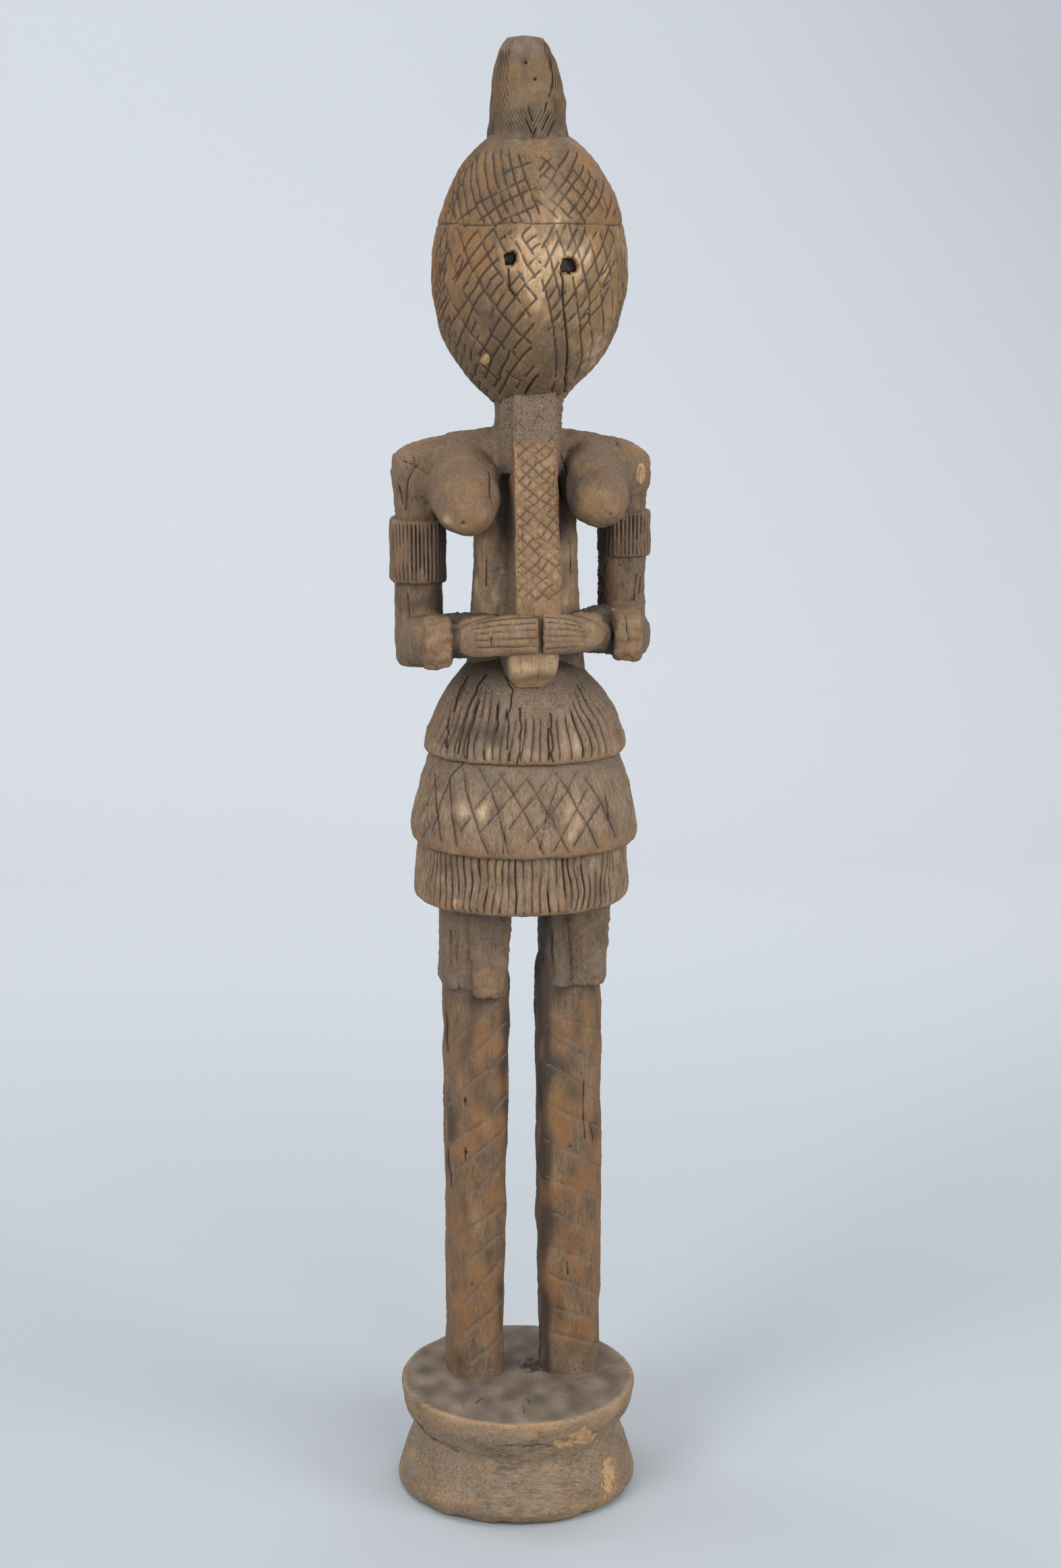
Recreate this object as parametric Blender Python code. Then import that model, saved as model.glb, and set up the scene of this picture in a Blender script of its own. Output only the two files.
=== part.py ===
"""A masked woman carved with her round base from one log of wood.

Metres, +Z up. The figure faces -Y, and its own right side is at -X. The origin is the middle of
the base's underside. Every form is a closed skin, and a Boolean joins them into one solid.
"""

import math

import bmesh
import bpy
from mathutils import Vector

# Base, shaped like a spool
BASE_HEIGHT = 0.056
BASE_TOP_RADIUS = 0.0598
BASE_WAIST_RADIUS = 0.0522
BASE_FOOT_RADIUS = 0.0610
BASE_WAIST_HEIGHT = 0.034
BASE_EDGE_HEIGHT = 0.006
BASE_FOOT_ROUNDING = 0.003
BASE_FOOT_WEAR = 0.0035

# The figure stands a little beside the middle of its base, and leans from the skirt upwards
STANCE_OFFSET = 0.0040
LEAN = 0.0123

# Legs, from the base to the hem of the skirt
LEG_LENGTH = 0.2543
LEG_SPACING = 0.0486
LEG_TAPER = 0.0022
LEG_SETBACK = 0.010
CALF_WIDTH = 0.0323
CALF_DEPTH = 0.036
CALF_FOOT_WIDTH = 0.0300
THIGH_WIDTH = 0.0328
THIGH_DEPTH = 0.037
THIGH_OUTWARD = 0.0024
THIGH_FORWARD = 0.001
KNEE_DROP = 0.0478
KNEE_WIDTH = 0.0195
KNEE_THICKNESS = 0.0045
KNEE_SIDESTEP = 0.0034
KNEE_SLANT = 0.005

# Skirt in three tiers, each with its hem, top and widths
HEM_TIER_HEIGHT = 0.0322
MIDDLE_TIER_HEIGHT = 0.0395
UPPER_TIER_HEIGHT = 0.046
HEM_TIER_WIDTH = 0.1052
MIDDLE_TIER_WIDTH = 0.1098
UPPER_TIER_WIDTH = 0.0972
SKIRT_DEPTH_SHARE = 0.90
TIER_STEP = 0.0035
HEM_FRINGE_STRANDS = 84
UPPER_FRINGE_STRANDS = 60
FRINGE_GROOVE_DEPTH = 0.0012

# Trunk
TRUNK_LENGTH = 0.1115
WAIST_WIDTH = 0.055
CHEST_WIDTH = 0.0492
TRUNK_DEPTH = 0.038
TRUNK_SETBACK = 0.005
SHOULDER_WIDTH = 0.124
SHOULDER_DROP = 0.0105
SHOULDER_DEPTH = 0.034
SHOULDER_SIDESTEP = -0.0024
CHEST_HEIGHT = 0.042
NECK_WIDTH = 0.0312
NECK_DEPTH = 0.042

# Breasts
BREAST_SPACING = 0.061
BREAST_RADIUS = 0.0165
BREAST_REACH = 0.042
BREAST_DROOP = 0.0135
BREAST_DROP_FROM_SHOULDER = 0.0255

# Arms: the drop from the shoulder line down to the elbow's underside
ARM_SPACING = 0.0995
ARM_SIDESTEP = -0.0017
ARM_WIDTH = 0.0225
ARM_WIDTH_DIFFERENCE = 0.04
ARM_DEPTH = 0.030
ARM_SETBACK = 0.007
ARM_LENGTH = 0.114
LEFT_ELBOW_RISE = 0.005
ARMLET_THICKNESS = 0.0018
ARMLET_DROP = 0.041
RIGHT_ARMLET_HEIGHT = 0.0290
LEFT_ARMLET_HEIGHT = 0.0215
ARMLET_GROOVES = 18
ARMLET_GROOVE_DEPTH = 0.0006
FOREARM_HEIGHT = 0.0235
BRACELET_LENGTH = 0.0155
BRACELET_END = 0.72
BRACELET_THICKNESS = 0.0016

# Hands, which meet in front of the beard
HAND_LENGTH = 0.0355
HAND_HEIGHT = 0.0198
HAND_THICKNESS = 0.017
HAND_REACH = 0.050
HAND_RISE = 0.022
HAND_GAP = 0.0012
HAND_SIDESTEP = 0.0014

# Beard, a long board from the chin to below the hands
BEARD_WIDTH = 0.0215
BEARD_FLARE = 0.0024
BEARD_TOP_REACH = 0.027
BEARD_LOW_REACH = 0.045
BEARD_TIP_BELOW_HANDS = 0.0175
BEARD_TIP_WIDTH = 0.017

# Head, an egg with a soft keel down the face
NECK_LENGTH = 0.010
HEAD_HEIGHT = 0.135
HEAD_WIDTH = 0.0918
HEAD_DEPTH = 0.0930
HEAD_WIDEST_SHARE = 0.492
HEAD_KEEL = 0.0017
EYE_RADIUS = 0.0038
EYE_DEPTH = 0.010
EYE_SPACING = 0.0262
EYE_SIDESTEP = -0.0005
EYE_SLANT = 0.0033
EYE_ABOVE_WIDEST = 0.0024

# Crest of hair on the crown
CREST_HEIGHT = 0.0475
CREST_WIDTH = 0.0354
CREST_TOP_WIDTH = 0.017
CREST_DEPTH = 0.050
CREST_TOP_DEPTH = 0.020
CREST_SETBACK = 0.004
CREST_SIDESTEP = -0.0010
CREST_LEAN = -0.0018
CREST_SINK = 0.012

WOOD_COLOUR = (0.165, 0.100, 0.055, 1.0)
OVERLAP = 0.008

# Levels up the figure, each worked out from the one below
HEM = BASE_HEIGHT + LEG_LENGTH
MIDDLE_RIM = HEM + HEM_TIER_HEIGHT
UPPER_RIM = MIDDLE_RIM + MIDDLE_TIER_HEIGHT
WAIST = UPPER_RIM + UPPER_TIER_HEIGHT
SHOULDER = WAIST + TRUNK_LENGTH
CHIN = SHOULDER + NECK_LENGTH
HEAD_WIDEST = CHIN + HEAD_WIDEST_SHARE * HEAD_HEIGHT
CROWN = CHIN + HEAD_HEIGHT
CREST_FOOT = CROWN - CREST_SINK
ELBOW = SHOULDER - ARM_LENGTH
HAND_LEVEL = ELBOW + HAND_RISE
KNEE = HEM - KNEE_DROP


def superellipse(angle, half_x, half_y, power):
    """A point on a rounded box: power 2 is an ellipse, and more is squarer."""
    c, s = math.cos(angle), math.sin(angle)
    reach = (abs(c) ** power + abs(s) ** power) ** (-1 / power)
    return half_x * reach * c, half_y * reach * s


def level_ring(z, half_x, half_y, power=2.0, x=0.0, y=0.0, count=24):
    """A level ring round (x, y), which starts at the figure's left and turns by way of its back."""
    turn = 2 * math.pi / count
    flat = [superellipse(k * turn, half_x, half_y, power) for k in range(count)]
    return [Vector((x + px, y + py, z)) for px, py in flat]


def ring_across(centre, along, half_side, half_up, power=2.0, count=16):
    """A ring square to a path: half_side is its level half-width, and half_up its upright one."""
    along = Vector(along).normalized()
    side = along.cross(Vector((0, 0, 1))).normalized()
    up = side.cross(along)
    turn = 2 * math.pi / count
    flat = [superellipse(k * turn, half_side, half_up, power) for k in range(count)]
    return [Vector(centre) + side * a + up * b for a, b in flat]


def between(start, end, share):
    """The value a share of the way from start to end."""
    return start + (end - start) * share


def skin(name, rings):
    """A closed skin through rings, which may differ in their points, with a fan on both ends."""
    bm = bmesh.new()
    loops = [[bm.verts.new(point) for point in ring] for ring in rings]
    for lower, upper in zip(loops, loops[1:]):
        n, m = len(lower), len(upper)
        i = j = 0
        while i < n or j < m:
            if (i + 1) * m <= (j + 1) * n:
                bm.faces.new((lower[i], lower[(i + 1) % n], upper[j % m]))
                i += 1
            else:
                bm.faces.new((lower[i % n], upper[(j + 1) % m], upper[j]))
                j += 1
    for loop in (loops[0], loops[-1]):
        middle = bm.verts.new(sum((v.co for v in loop), Vector()) / len(loop))
        for k in range(len(loop)):
            bm.faces.new((loop[k], loop[(k + 1) % len(loop)], middle))
    bmesh.ops.recalc_face_normals(bm, faces=bm.faces)
    mesh = bpy.data.meshes.new(name)
    bm.to_mesh(mesh)
    bm.free()
    return bpy.data.objects.new(name, mesh)


def base():
    """The spool: a foot that narrows to a waist and opens again to the edge under the top.

    The foot's edge is worn away a little at the front and the back.
    """
    edge = BASE_HEIGHT - BASE_EDGE_HEIGHT
    profile = (
        (0.0, BASE_FOOT_RADIUS - BASE_FOOT_ROUNDING / 2),
        (BASE_FOOT_ROUNDING, BASE_FOOT_RADIUS),
        (between(0, BASE_WAIST_HEIGHT, 0.55), between(BASE_FOOT_RADIUS, BASE_WAIST_RADIUS, 0.62)),
        (BASE_WAIST_HEIGHT, BASE_WAIST_RADIUS),
        (edge, BASE_TOP_RADIUS),
        (BASE_HEIGHT - BASE_EDGE_HEIGHT / 6, BASE_TOP_RADIUS),
        (BASE_HEIGHT, BASE_TOP_RADIUS - BASE_EDGE_HEIGHT / 6),
    )
    rings = [level_ring(z, r, r, count=44) for z, r in profile]
    worn = BASE_FOOT_RADIUS - BASE_FOOT_ROUNDING / 2
    rings[0] = level_ring(0.0, worn, worn - BASE_FOOT_WEAR, count=44)
    return skin("base", rings)


def leg_x(side, z):
    """How far a leg's middle is from the figure's: the legs come closer upwards."""
    return side * (LEG_SPACING - LEG_TAPER * (z - BASE_HEIGHT) / LEG_LENGTH) / 2


def calf(side):
    """The column from the base to the back of the knee, where it ends in a rounded shoulder."""
    top = KNEE + CALF_WIDTH * 0.38
    levels = (
        (BASE_HEIGHT - OVERLAP, 1.00, CALF_FOOT_WIDTH),
        (between(BASE_HEIGHT, KNEE, 0.75), 1.0, CALF_WIDTH),
        (between(KNEE, top, 0.4), 1.0, CALF_WIDTH),
        (between(KNEE, top, 0.8), 0.93, CALF_WIDTH * 0.93),
        (top, 0.8, CALF_WIDTH * 0.76),
    )
    rings = [
        level_ring(z, width / 2, share * CALF_DEPTH / 2, 2.9, leg_x(side, z), LEG_SETBACK, 20)
        for z, share, width in levels
    ]
    return skin("calf", rings)


def thigh(side):
    """The upper leg, which comes down behind the knee's flap and stands a little outwards."""
    x = leg_x(side, HEM) + side * THIGH_OUTWARD
    y = LEG_SETBACK - THIGH_FORWARD
    levels = ((KNEE + 0.003, 0.95), (between(KNEE, HEM, 0.5), 0.98), (HEM + OVERLAP, 1.02))
    rings = [
        level_ring(z, share * THIGH_WIDTH / 2, THIGH_DEPTH / 2, 3.2, x, y, 20)
        for z, share in levels
    ]
    return skin("thigh", rings)


def knee(side):
    """The flap in front of the knee: a thick tongue that narrows and ends with a square step."""
    x = leg_x(side, HEM) + KNEE_SIDESTEP + side * THIGH_OUTWARD / 2
    front = LEG_SETBACK - THIGH_FORWARD - THIGH_DEPTH / 2 - KNEE_THICKNESS
    depth = KNEE_THICKNESS * 2.4
    bottom = KNEE + side * KNEE_SLANT / 2
    levels = (
        (bottom, 0.78, 0.80),
        (bottom + 0.002, 0.86, 1.0),
        (between(bottom, HEM, 0.45), 1.0, 0.90),
        (HEM + OVERLAP, 1.15, 0.78),
    )
    rings = [
        level_ring(z, share * KNEE_WIDTH / 2, thick * depth / 2, 3.5, x, front + depth / 2, 16)
        for z, share, thick in levels
    ]
    return skin("knee", rings)


def fringe_ring(z, half_x, strands, groove):
    """A ring of flat strands with a V groove between each two."""
    pitch = 2 * math.pi / strands
    half_y = half_x * SKIRT_DEPTH_SHARE
    ring = []
    for k in range(strands):
        for share, sink in ((0.0, groove), (0.5, 0.0)):
            px, py = superellipse((k + share) * pitch, half_x - sink, half_y - sink, 2.1)
            ring.append(Vector((px, py, z)))
    return ring


def plain_ring(z, half_x, count):
    """A ring of the skirt with no grooves."""
    return level_ring(z, half_x, half_x * SKIRT_DEPTH_SHARE, 2.1, count=count)


def skirt():
    """Three tiers in one skin: a fringed band, a plain tier over it and a fringed dome on top."""
    hem = HEM_TIER_WIDTH / 2
    middle = MIDDLE_TIER_WIDTH / 2
    upper = UPPER_TIER_WIDTH / 2
    top = WAIST_WIDTH / 2 - 0.003
    groove = FRINGE_GROOVE_DEPTH
    rings = []
    for z, half in ((HEM, hem - 0.0045), (HEM + 0.006, hem), (MIDDLE_RIM + 0.001, hem - 0.0018)):
        rings.append(fringe_ring(z, half, HEM_FRINGE_STRANDS, groove))
    for share, spread in ((0.0, 0.93), (0.05, 0.99), (0.14, 1.0), (0.45, 0.80), (0.80, 0.25)):
        half = between(upper - TIER_STEP / 3, middle, spread)
        rings.append(plain_ring(between(MIDDLE_RIM, UPPER_RIM, share), half, 42))
    rings.append(plain_ring(UPPER_RIM + 0.001, upper - TIER_STEP, 42))
    for share, spread in ((0.0, 0.97), (0.07, 1.0), (0.34, 0.93), (0.70, 0.57)):
        z = between(UPPER_RIM, WAIST, share)
        rings.append(fringe_ring(z, between(top, upper, spread), UPPER_FRINGE_STRANDS, groove))
    rings.append(plain_ring(between(UPPER_RIM, WAIST, 0.93), between(top, upper, 0.2), 24))
    rings.append(plain_ring(WAIST + 0.003, top, 24))
    return skin("skirt", rings)


def trunk():
    """The column from the skirt to the chest, narrowing upwards."""
    levels = (
        (WAIST - OVERLAP, WAIST_WIDTH, 1.10),
        (between(WAIST, SHOULDER, 0.2), between(WAIST_WIDTH, CHEST_WIDTH, 0.35), 1.04),
        (between(WAIST, SHOULDER, 0.5), CHEST_WIDTH, 1.0),
        (between(WAIST, SHOULDER, 0.9), CHEST_WIDTH, 0.98),
    )
    rings = [
        level_ring(z, width / 2, share * TRUNK_DEPTH / 2, 3.0, y=TRUNK_SETBACK)
        for z, width, share in levels
    ]
    return skin("trunk", rings)


def shoulders():
    """The yoke across the top of the chest, sloping down to square ends."""
    half = SHOULDER_WIDTH / 2
    stations = (
        (-1.0, 0.52, 0.80),
        (-0.97, 0.72, 0.92),
        (-0.74, 0.84, 1.0),
        (-0.40, 1.0, 1.0),
        (0.0, 1.0, 1.0),
        (0.40, 1.0, 1.0),
        (0.74, 0.84, 1.0),
        (0.97, 0.72, 0.92),
        (1.0, 0.52, 0.80),
    )
    rings = []
    for share, tall, deep in stations:
        top = SHOULDER - SHOULDER_DROP * abs(share) ** 2.1
        height = CHEST_HEIGHT * tall
        centre = (SHOULDER_SIDESTEP + half * share, ARM_SETBACK, top - height / 2)
        rings.append(ring_across(centre, (1, 0, 0), SHOULDER_DEPTH * deep / 2, height / 2, 3.2))
    return skin("shoulders", rings)


def neck():
    """The short column under the head."""
    levels = (SHOULDER - CHEST_HEIGHT / 2, CHIN + NECK_LENGTH)
    rings = [level_ring(z, NECK_WIDTH / 2, NECK_DEPTH / 2, 3.2, count=20) for z in levels]
    return skin("neck", rings)


def breast(side):
    """A drooping cone with a blunt rounded tip."""
    root = Vector((
        side * BREAST_SPACING / 2 + ARM_SIDESTEP,
        ARM_SETBACK - SHOULDER_DEPTH / 2 + 0.002,
        SHOULDER - BREAST_DROP_FROM_SHOULDER,
    ))
    travel = Vector((side * 0.0045, -BREAST_REACH, -BREAST_DROOP))
    stations = (
        (-0.25, 1.10), (0.0, 1.12), (0.30, 1.02), (0.60, 0.82), (0.82, 0.58), (0.95, 0.32),
        (1.0, 0.12),
    )
    rings = [
        ring_across(root + travel * share, travel, BREAST_RADIUS * size * 0.95, BREAST_RADIUS * size)
        for share, size in stations
    ]
    return skin("breast", rings)


def arm_width(side):
    """The right arm is thicker than the left one."""
    return ARM_WIDTH * (1 - side * ARM_WIDTH_DIFFERENCE)


def elbow_level(side):
    """The height of the elbow's underside; the left elbow is higher."""
    return ELBOW + (LEFT_ELBOW_RISE if side > 0 else 0)


def armlet(side, x):
    """The rings of a cuff with upright grooves, from its foot to its top."""
    top = SHOULDER - ARMLET_DROP
    foot = top - (LEFT_ARMLET_HEIGHT if side > 0 else RIGHT_ARMLET_HEIGHT)
    bevel = 0.0012
    rings = []
    for z, inset in ((foot, bevel), (foot + bevel, 0.0), (top - bevel, 0.0), (top, bevel)):
        half_x = arm_width(side) / 2 + ARMLET_THICKNESS - inset
        half_y = ARM_DEPTH / 2 + ARMLET_THICKNESS - inset
        ring = level_ring(z, half_x, half_y, 3.2, x, ARM_SETBACK, 2 * ARMLET_GROOVES)
        middle = Vector((x, ARM_SETBACK, z))
        for k in range(0, len(ring), 2):
            ring[k] = middle + (ring[k] - middle) * (1 - ARMLET_GROOVE_DEPTH / half_x)
        rings.append(ring)
    return rings


def upper_arm(side):
    """The arm's column from the elbow to the shoulder, with a ribbed cuff round it."""
    x = side * ARM_SPACING / 2 + ARM_SIDESTEP
    bottom = elbow_level(side)
    top = SHOULDER - SHOULDER_DROP - 0.006
    cuff = armlet(side, x)
    foot_z, head_z = cuff[0][0].z, cuff[-1][0].z
    below = (
        (bottom, 0.90, 0.90, 0.0),
        (bottom + 0.0025, 1.0, 1.0, 0.0),
        (between(bottom, foot_z, 0.5), 1.0, 1.0, 0.0),
        (foot_z - 0.0005, 0.98, 0.98, 0.0),
    )
    above = (
        (head_z + 0.0005, 0.99, 0.97, 0.0),
        (between(bottom, top, 0.90), 1.08, 1.0, 0.0006),
        (top, 0.94, 0.86, 0.0006),
    )

    def rings(levels):
        half = arm_width(side) / 2
        return [
            level_ring(z, wide * half, deep * ARM_DEPTH / 2, 3.2, x + side * out, ARM_SETBACK, 20)
            for z, wide, deep, out in levels
        ]

    return skin("upper_arm", rings(below) + cuff + rings(above))


def forearm(side):
    """The forearm runs forwards and inwards from the elbow, with a bracelet at the wrist."""
    x = side * ARM_SPACING / 2 + ARM_SIDESTEP
    elbow = Vector((x, ARM_SETBACK - 0.003, elbow_level(side) + FOREARM_HEIGHT * 0.56))
    wrist = Vector((side * HAND_LENGTH * 0.86, -HAND_REACH * 0.74, HAND_LEVEL - 0.002))
    path = wrist - elbow
    cuff = BRACELET_LENGTH / path.length
    raised = 1 + 2 * BRACELET_THICKNESS / FOREARM_HEIGHT
    stations = (
        (0.0, 1.0), (BRACELET_END - cuff - 0.02, 0.96), (BRACELET_END - cuff, raised),
        (BRACELET_END - 0.03, raised), (BRACELET_END, raised - 0.06), (BRACELET_END + 0.01, 0.80),
        (1.02, 0.74),
    )
    half = FOREARM_HEIGHT / 2
    rings = [
        ring_across(elbow + path * share, path, half * size * 0.92, half * size, 2.6)
        for share, size in stations
    ]
    return skin("forearm", rings)


def hand(side):
    """A long rounded hand, whose finger ends stop just short of the other's."""
    stations = (
        (1.0, 0.42), (0.975, 0.66), (0.90, 0.86), (0.75, 0.97), (0.5, 1.0), (0.25, 1.0),
        (HAND_GAP / 2 / HAND_LENGTH, 0.97),
    )
    rings = []
    for share, size in stations:
        bow = HAND_REACH - 0.011 * share ** 2 - HAND_THICKNESS / 2
        x = HAND_SIDESTEP + side * HAND_LENGTH * share
        centre = (x, -bow, HAND_LEVEL - 0.0005 * share)
        thick, tall = size * HAND_THICKNESS / 2, size * HAND_HEIGHT / 2
        rings.append(ring_across(centre, (side, 0.25 * share, 0), thick, tall, 2.7))
    return skin("hand", rings)


def beard():
    """The board hangs forwards from the chin, behind the hands, and shows its blunt tip below."""
    tip = HAND_LEVEL - HAND_HEIGHT / 2 - BEARD_TIP_BELOW_HANDS
    rings = []
    for z, width, reach in (
        (tip, BEARD_TIP_WIDTH - 0.006, BEARD_LOW_REACH - 0.008),
        (tip + 0.0025, BEARD_TIP_WIDTH, BEARD_LOW_REACH - 0.005),
        (tip + 0.009, BEARD_TIP_WIDTH + 0.005, BEARD_LOW_REACH - 0.003),
        (HAND_LEVEL + HAND_HEIGHT * 0.7, BEARD_WIDTH, BEARD_LOW_REACH),
        (CHIN + 0.006, BEARD_WIDTH - 0.0005, BEARD_TOP_REACH),
    ):
        front, root = width / 2, width / 2 + BEARD_FLARE
        edge = 0.001
        outline = (
            (-root, TRUNK_SETBACK), (-front, -reach + edge), (-front + edge, -reach),
            (front - edge, -reach), (front, -reach + edge), (root, TRUNK_SETBACK),
        )
        rings.append([Vector((px, py, z)) for px, py in outline])
    return skin("beard", rings)


def head_reach(z):
    """The share of the head's full half-width at a height: an egg a little pointed at both ends."""
    span = CROWN - HEAD_WIDEST if z > HEAD_WIDEST else HEAD_WIDEST - CHIN
    rise = min(abs(z - HEAD_WIDEST) / span, 1.0)
    return (1 - rise ** 1.98) ** (0.56 if z > HEAD_WIDEST else 0.53)


def head():
    """The egg-shaped masked head, with a keel that runs down the front of the face."""
    rows = 15
    count = 36
    rings = []
    for row in range(rows + 1):
        z = HEAD_WIDEST - (HEAD_WIDEST - CHIN) * math.cos(math.pi * row / rows)
        if row > rows / 2:
            z = HEAD_WIDEST - (CROWN - HEAD_WIDEST) * math.cos(math.pi * row / rows)
        reach = max(head_reach(z), 0.03)
        ring = level_ring(z, reach * HEAD_WIDTH / 2, reach * HEAD_DEPTH / 2, 2.06, count=count)
        ring[3 * count // 4].y -= HEAD_KEEL * reach
        rings.append(ring)
    return skin("head", rings)


def crest():
    """The tall crest of hair, wide at the foot, with a flat front that leans back."""
    levels = ((-0.15, 1.05, 1.10), (0.0, 1.0, 1.0), (0.30, 0.97, 0.93), (0.55, 0.91, 0.86),
              (0.75, 0.78, 0.74), (0.90, 0.63, 0.58), (0.975, 0.52, 0.44), (1.0, 0.44, 0.36))
    rings = []
    for share, wide, deep in levels:
        half_x = max(wide * CREST_WIDTH, 0.5 * CREST_TOP_WIDTH) / 2
        half_y = max(deep * CREST_DEPTH, 0.5 * CREST_TOP_DEPTH) / 2
        x = CREST_SIDESTEP + CREST_LEAN * max(share, 0) ** 3
        z = CREST_FOOT + CREST_HEIGHT * share
        rings.append(level_ring(z, half_x, half_y, 2.5, x, CREST_SETBACK, 20))
    return skin("crest", rings)


def eye_hole(side):
    """A round cutter that runs straight back into the face."""
    x = side * EYE_SPACING / 2 + EYE_SIDESTEP
    z = HEAD_WIDEST + EYE_ABOVE_WIDEST - side * EYE_SLANT / 2
    face = HEAD_DEPTH / 2 * math.sqrt(1 - (2 * x / HEAD_WIDTH) ** 2)
    rings = [
        ring_across((x, y, z), (0, 1, 0), EYE_RADIUS, EYE_RADIUS, count=14)
        for y in (-face - 0.01, EYE_DEPTH - face)
    ]
    return skin("eye_hole", rings)


def lean(obj):
    """Moves a form onto the base and tips it sideways above the skirt."""
    for vertex in obj.data.vertices:
        vertex.co.x += STANCE_OFFSET + LEAN * max(vertex.co.z - UPPER_RIM, 0)
    return obj


def boolean(target, form, operation):
    """Joins a form to the target or cuts it away, and hides the form."""
    bpy.context.scene.collection.objects.link(form)
    form.hide_render = True
    form.display_type = "WIRE"
    modifier = target.modifiers.new(form.name, "BOOLEAN")
    modifier.operation = operation
    modifier.object = form


def wood():
    """Old wood, brown and dull."""
    material = bpy.data.materials.new("old_wood")
    material.use_nodes = True
    shader = material.node_tree.nodes["Principled BSDF"]
    shader.inputs["Base Color"].default_value = WOOD_COLOUR
    shader.inputs["Roughness"].default_value = 0.65
    shader.inputs["Metallic"].default_value = 0.0
    return material


def main():
    for obj in list(bpy.data.objects):
        bpy.data.objects.remove(obj)
    pairs = (calf, thigh, knee, breast, upper_arm, forearm, hand)
    single = (skirt, trunk, shoulders, neck, beard, head, crest)
    figure = base()
    figure.name = "masked_figure"
    bpy.context.scene.collection.objects.link(figure)
    figure.data.materials.append(wood())
    forms = [make() for make in single] + [make(side) for make in pairs for side in (-1, 1)]
    for form in forms:
        boolean(figure, lean(form), "UNION")
    for side in (-1, 1):
        boolean(figure, lean(eye_hole(side)), "DIFFERENCE")


main()
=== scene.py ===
# A carved wooden figure with an egg-shaped mask, on her own spool-shaped base.
# Shapes are worked out in millimetres, and turned into metres when a mesh is made.
import math
import bpy
import numpy as np
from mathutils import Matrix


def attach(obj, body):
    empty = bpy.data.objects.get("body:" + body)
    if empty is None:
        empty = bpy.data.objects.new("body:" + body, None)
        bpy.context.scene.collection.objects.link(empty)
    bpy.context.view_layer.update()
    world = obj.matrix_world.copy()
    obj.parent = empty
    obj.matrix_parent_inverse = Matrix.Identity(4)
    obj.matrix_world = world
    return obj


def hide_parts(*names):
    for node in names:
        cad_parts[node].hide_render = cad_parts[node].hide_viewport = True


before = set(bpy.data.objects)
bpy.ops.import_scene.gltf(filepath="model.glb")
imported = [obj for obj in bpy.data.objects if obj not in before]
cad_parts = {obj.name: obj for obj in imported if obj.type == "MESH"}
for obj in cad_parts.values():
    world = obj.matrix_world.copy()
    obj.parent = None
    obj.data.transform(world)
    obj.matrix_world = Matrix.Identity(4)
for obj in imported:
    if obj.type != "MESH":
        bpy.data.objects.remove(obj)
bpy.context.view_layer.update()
cadNode, cadBody, woodSlot = "masked_figure", "root", "old_wood"
uncut = 3.0  # mm from a line, which is beyond the width of any cut

# The camera's place, from the ellipse of the base and the level lines of the skirt
shot = {
    "lens": 60.0, "filmHeight": 36.0, "pictureWidth": 1573, "pictureHeight": 2324,
    "turn": -6.5, "dip": 12.12, "distance": 1254.4, "height": 636.0, "aside": 7.2,
}
shotTurn, shotDip = math.radians(shot["turn"]), math.radians(shot["dip"])
shotRight = np.array([math.cos(shotTurn), math.sin(shotTurn), 0.0])
shotBack = np.array([math.sin(shotTurn), -math.cos(shotTurn), 0.0])
shotAhead = -shotBack * math.cos(shotDip) - np.array([0, 0, math.sin(shotDip)])
shotUp = np.cross(shotRight, shotAhead)
shotEye = shotBack * shot["distance"] + shotRight * shot["aside"] + np.array([0, 0, shot["height"]])
shotFocal = shot["lens"] / shot["filmHeight"] * shot["pictureHeight"]


def inPicture(points):
    # Pinhole rule: the shift across and down is the focal length times sideways over ahead.
    ray = points - shotEye
    ahead = ray @ shotAhead
    across = shot["pictureWidth"] / 2 + shotFocal * (ray @ shotRight) / ahead
    down = shot["pictureHeight"] / 2 - shotFocal * (ray @ shotUp) / ahead
    return across, down


def smoothStep(value, low, high):
    # 3t^2 - 2t^3, with t the share of the way from low to high
    t = np.clip((value - low) / (high - low), 0, 1)
    return t * t * (3 - 2 * t)


def within(value, ends, outside, inside):
    # 1 between two ends, 0 beyond them and smooth from that far outside an end to that far inside
    low, high = ends
    return smoothStep(value, low - outside, low + inside) * smoothStep(value, high + outside, high - inside)


def held(value):
    # A share, held between 0 and 1
    return np.clip(value, 0, 1)


def smoothCurve(at, knots):
    # A cubic through (position, value, ...) knots, whose slopes are those of the neighbours.
    knots = np.asarray(knots, float)
    x, y = knots[:, 0], knots[:, 1:]
    slope = np.gradient(y, x, axis=0)
    at = np.asarray(at, float)
    i = np.clip(np.searchsorted(x, at) - 1, 0, len(x) - 2)
    h = (x[i + 1] - x[i])[..., None]
    t = np.clip((at - x[i])[..., None] / h, 0, 1)
    value = ((1 + 2 * t) * (1 - t) ** 2 * y[i] + t * (1 - t) ** 2 * h * slope[i]
             + t * t * (3 - 2 * t) * y[i + 1] + t * t * (t - 1) * h * slope[i + 1])
    return value[..., 0] if value.shape[-1] == 1 else value


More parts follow.
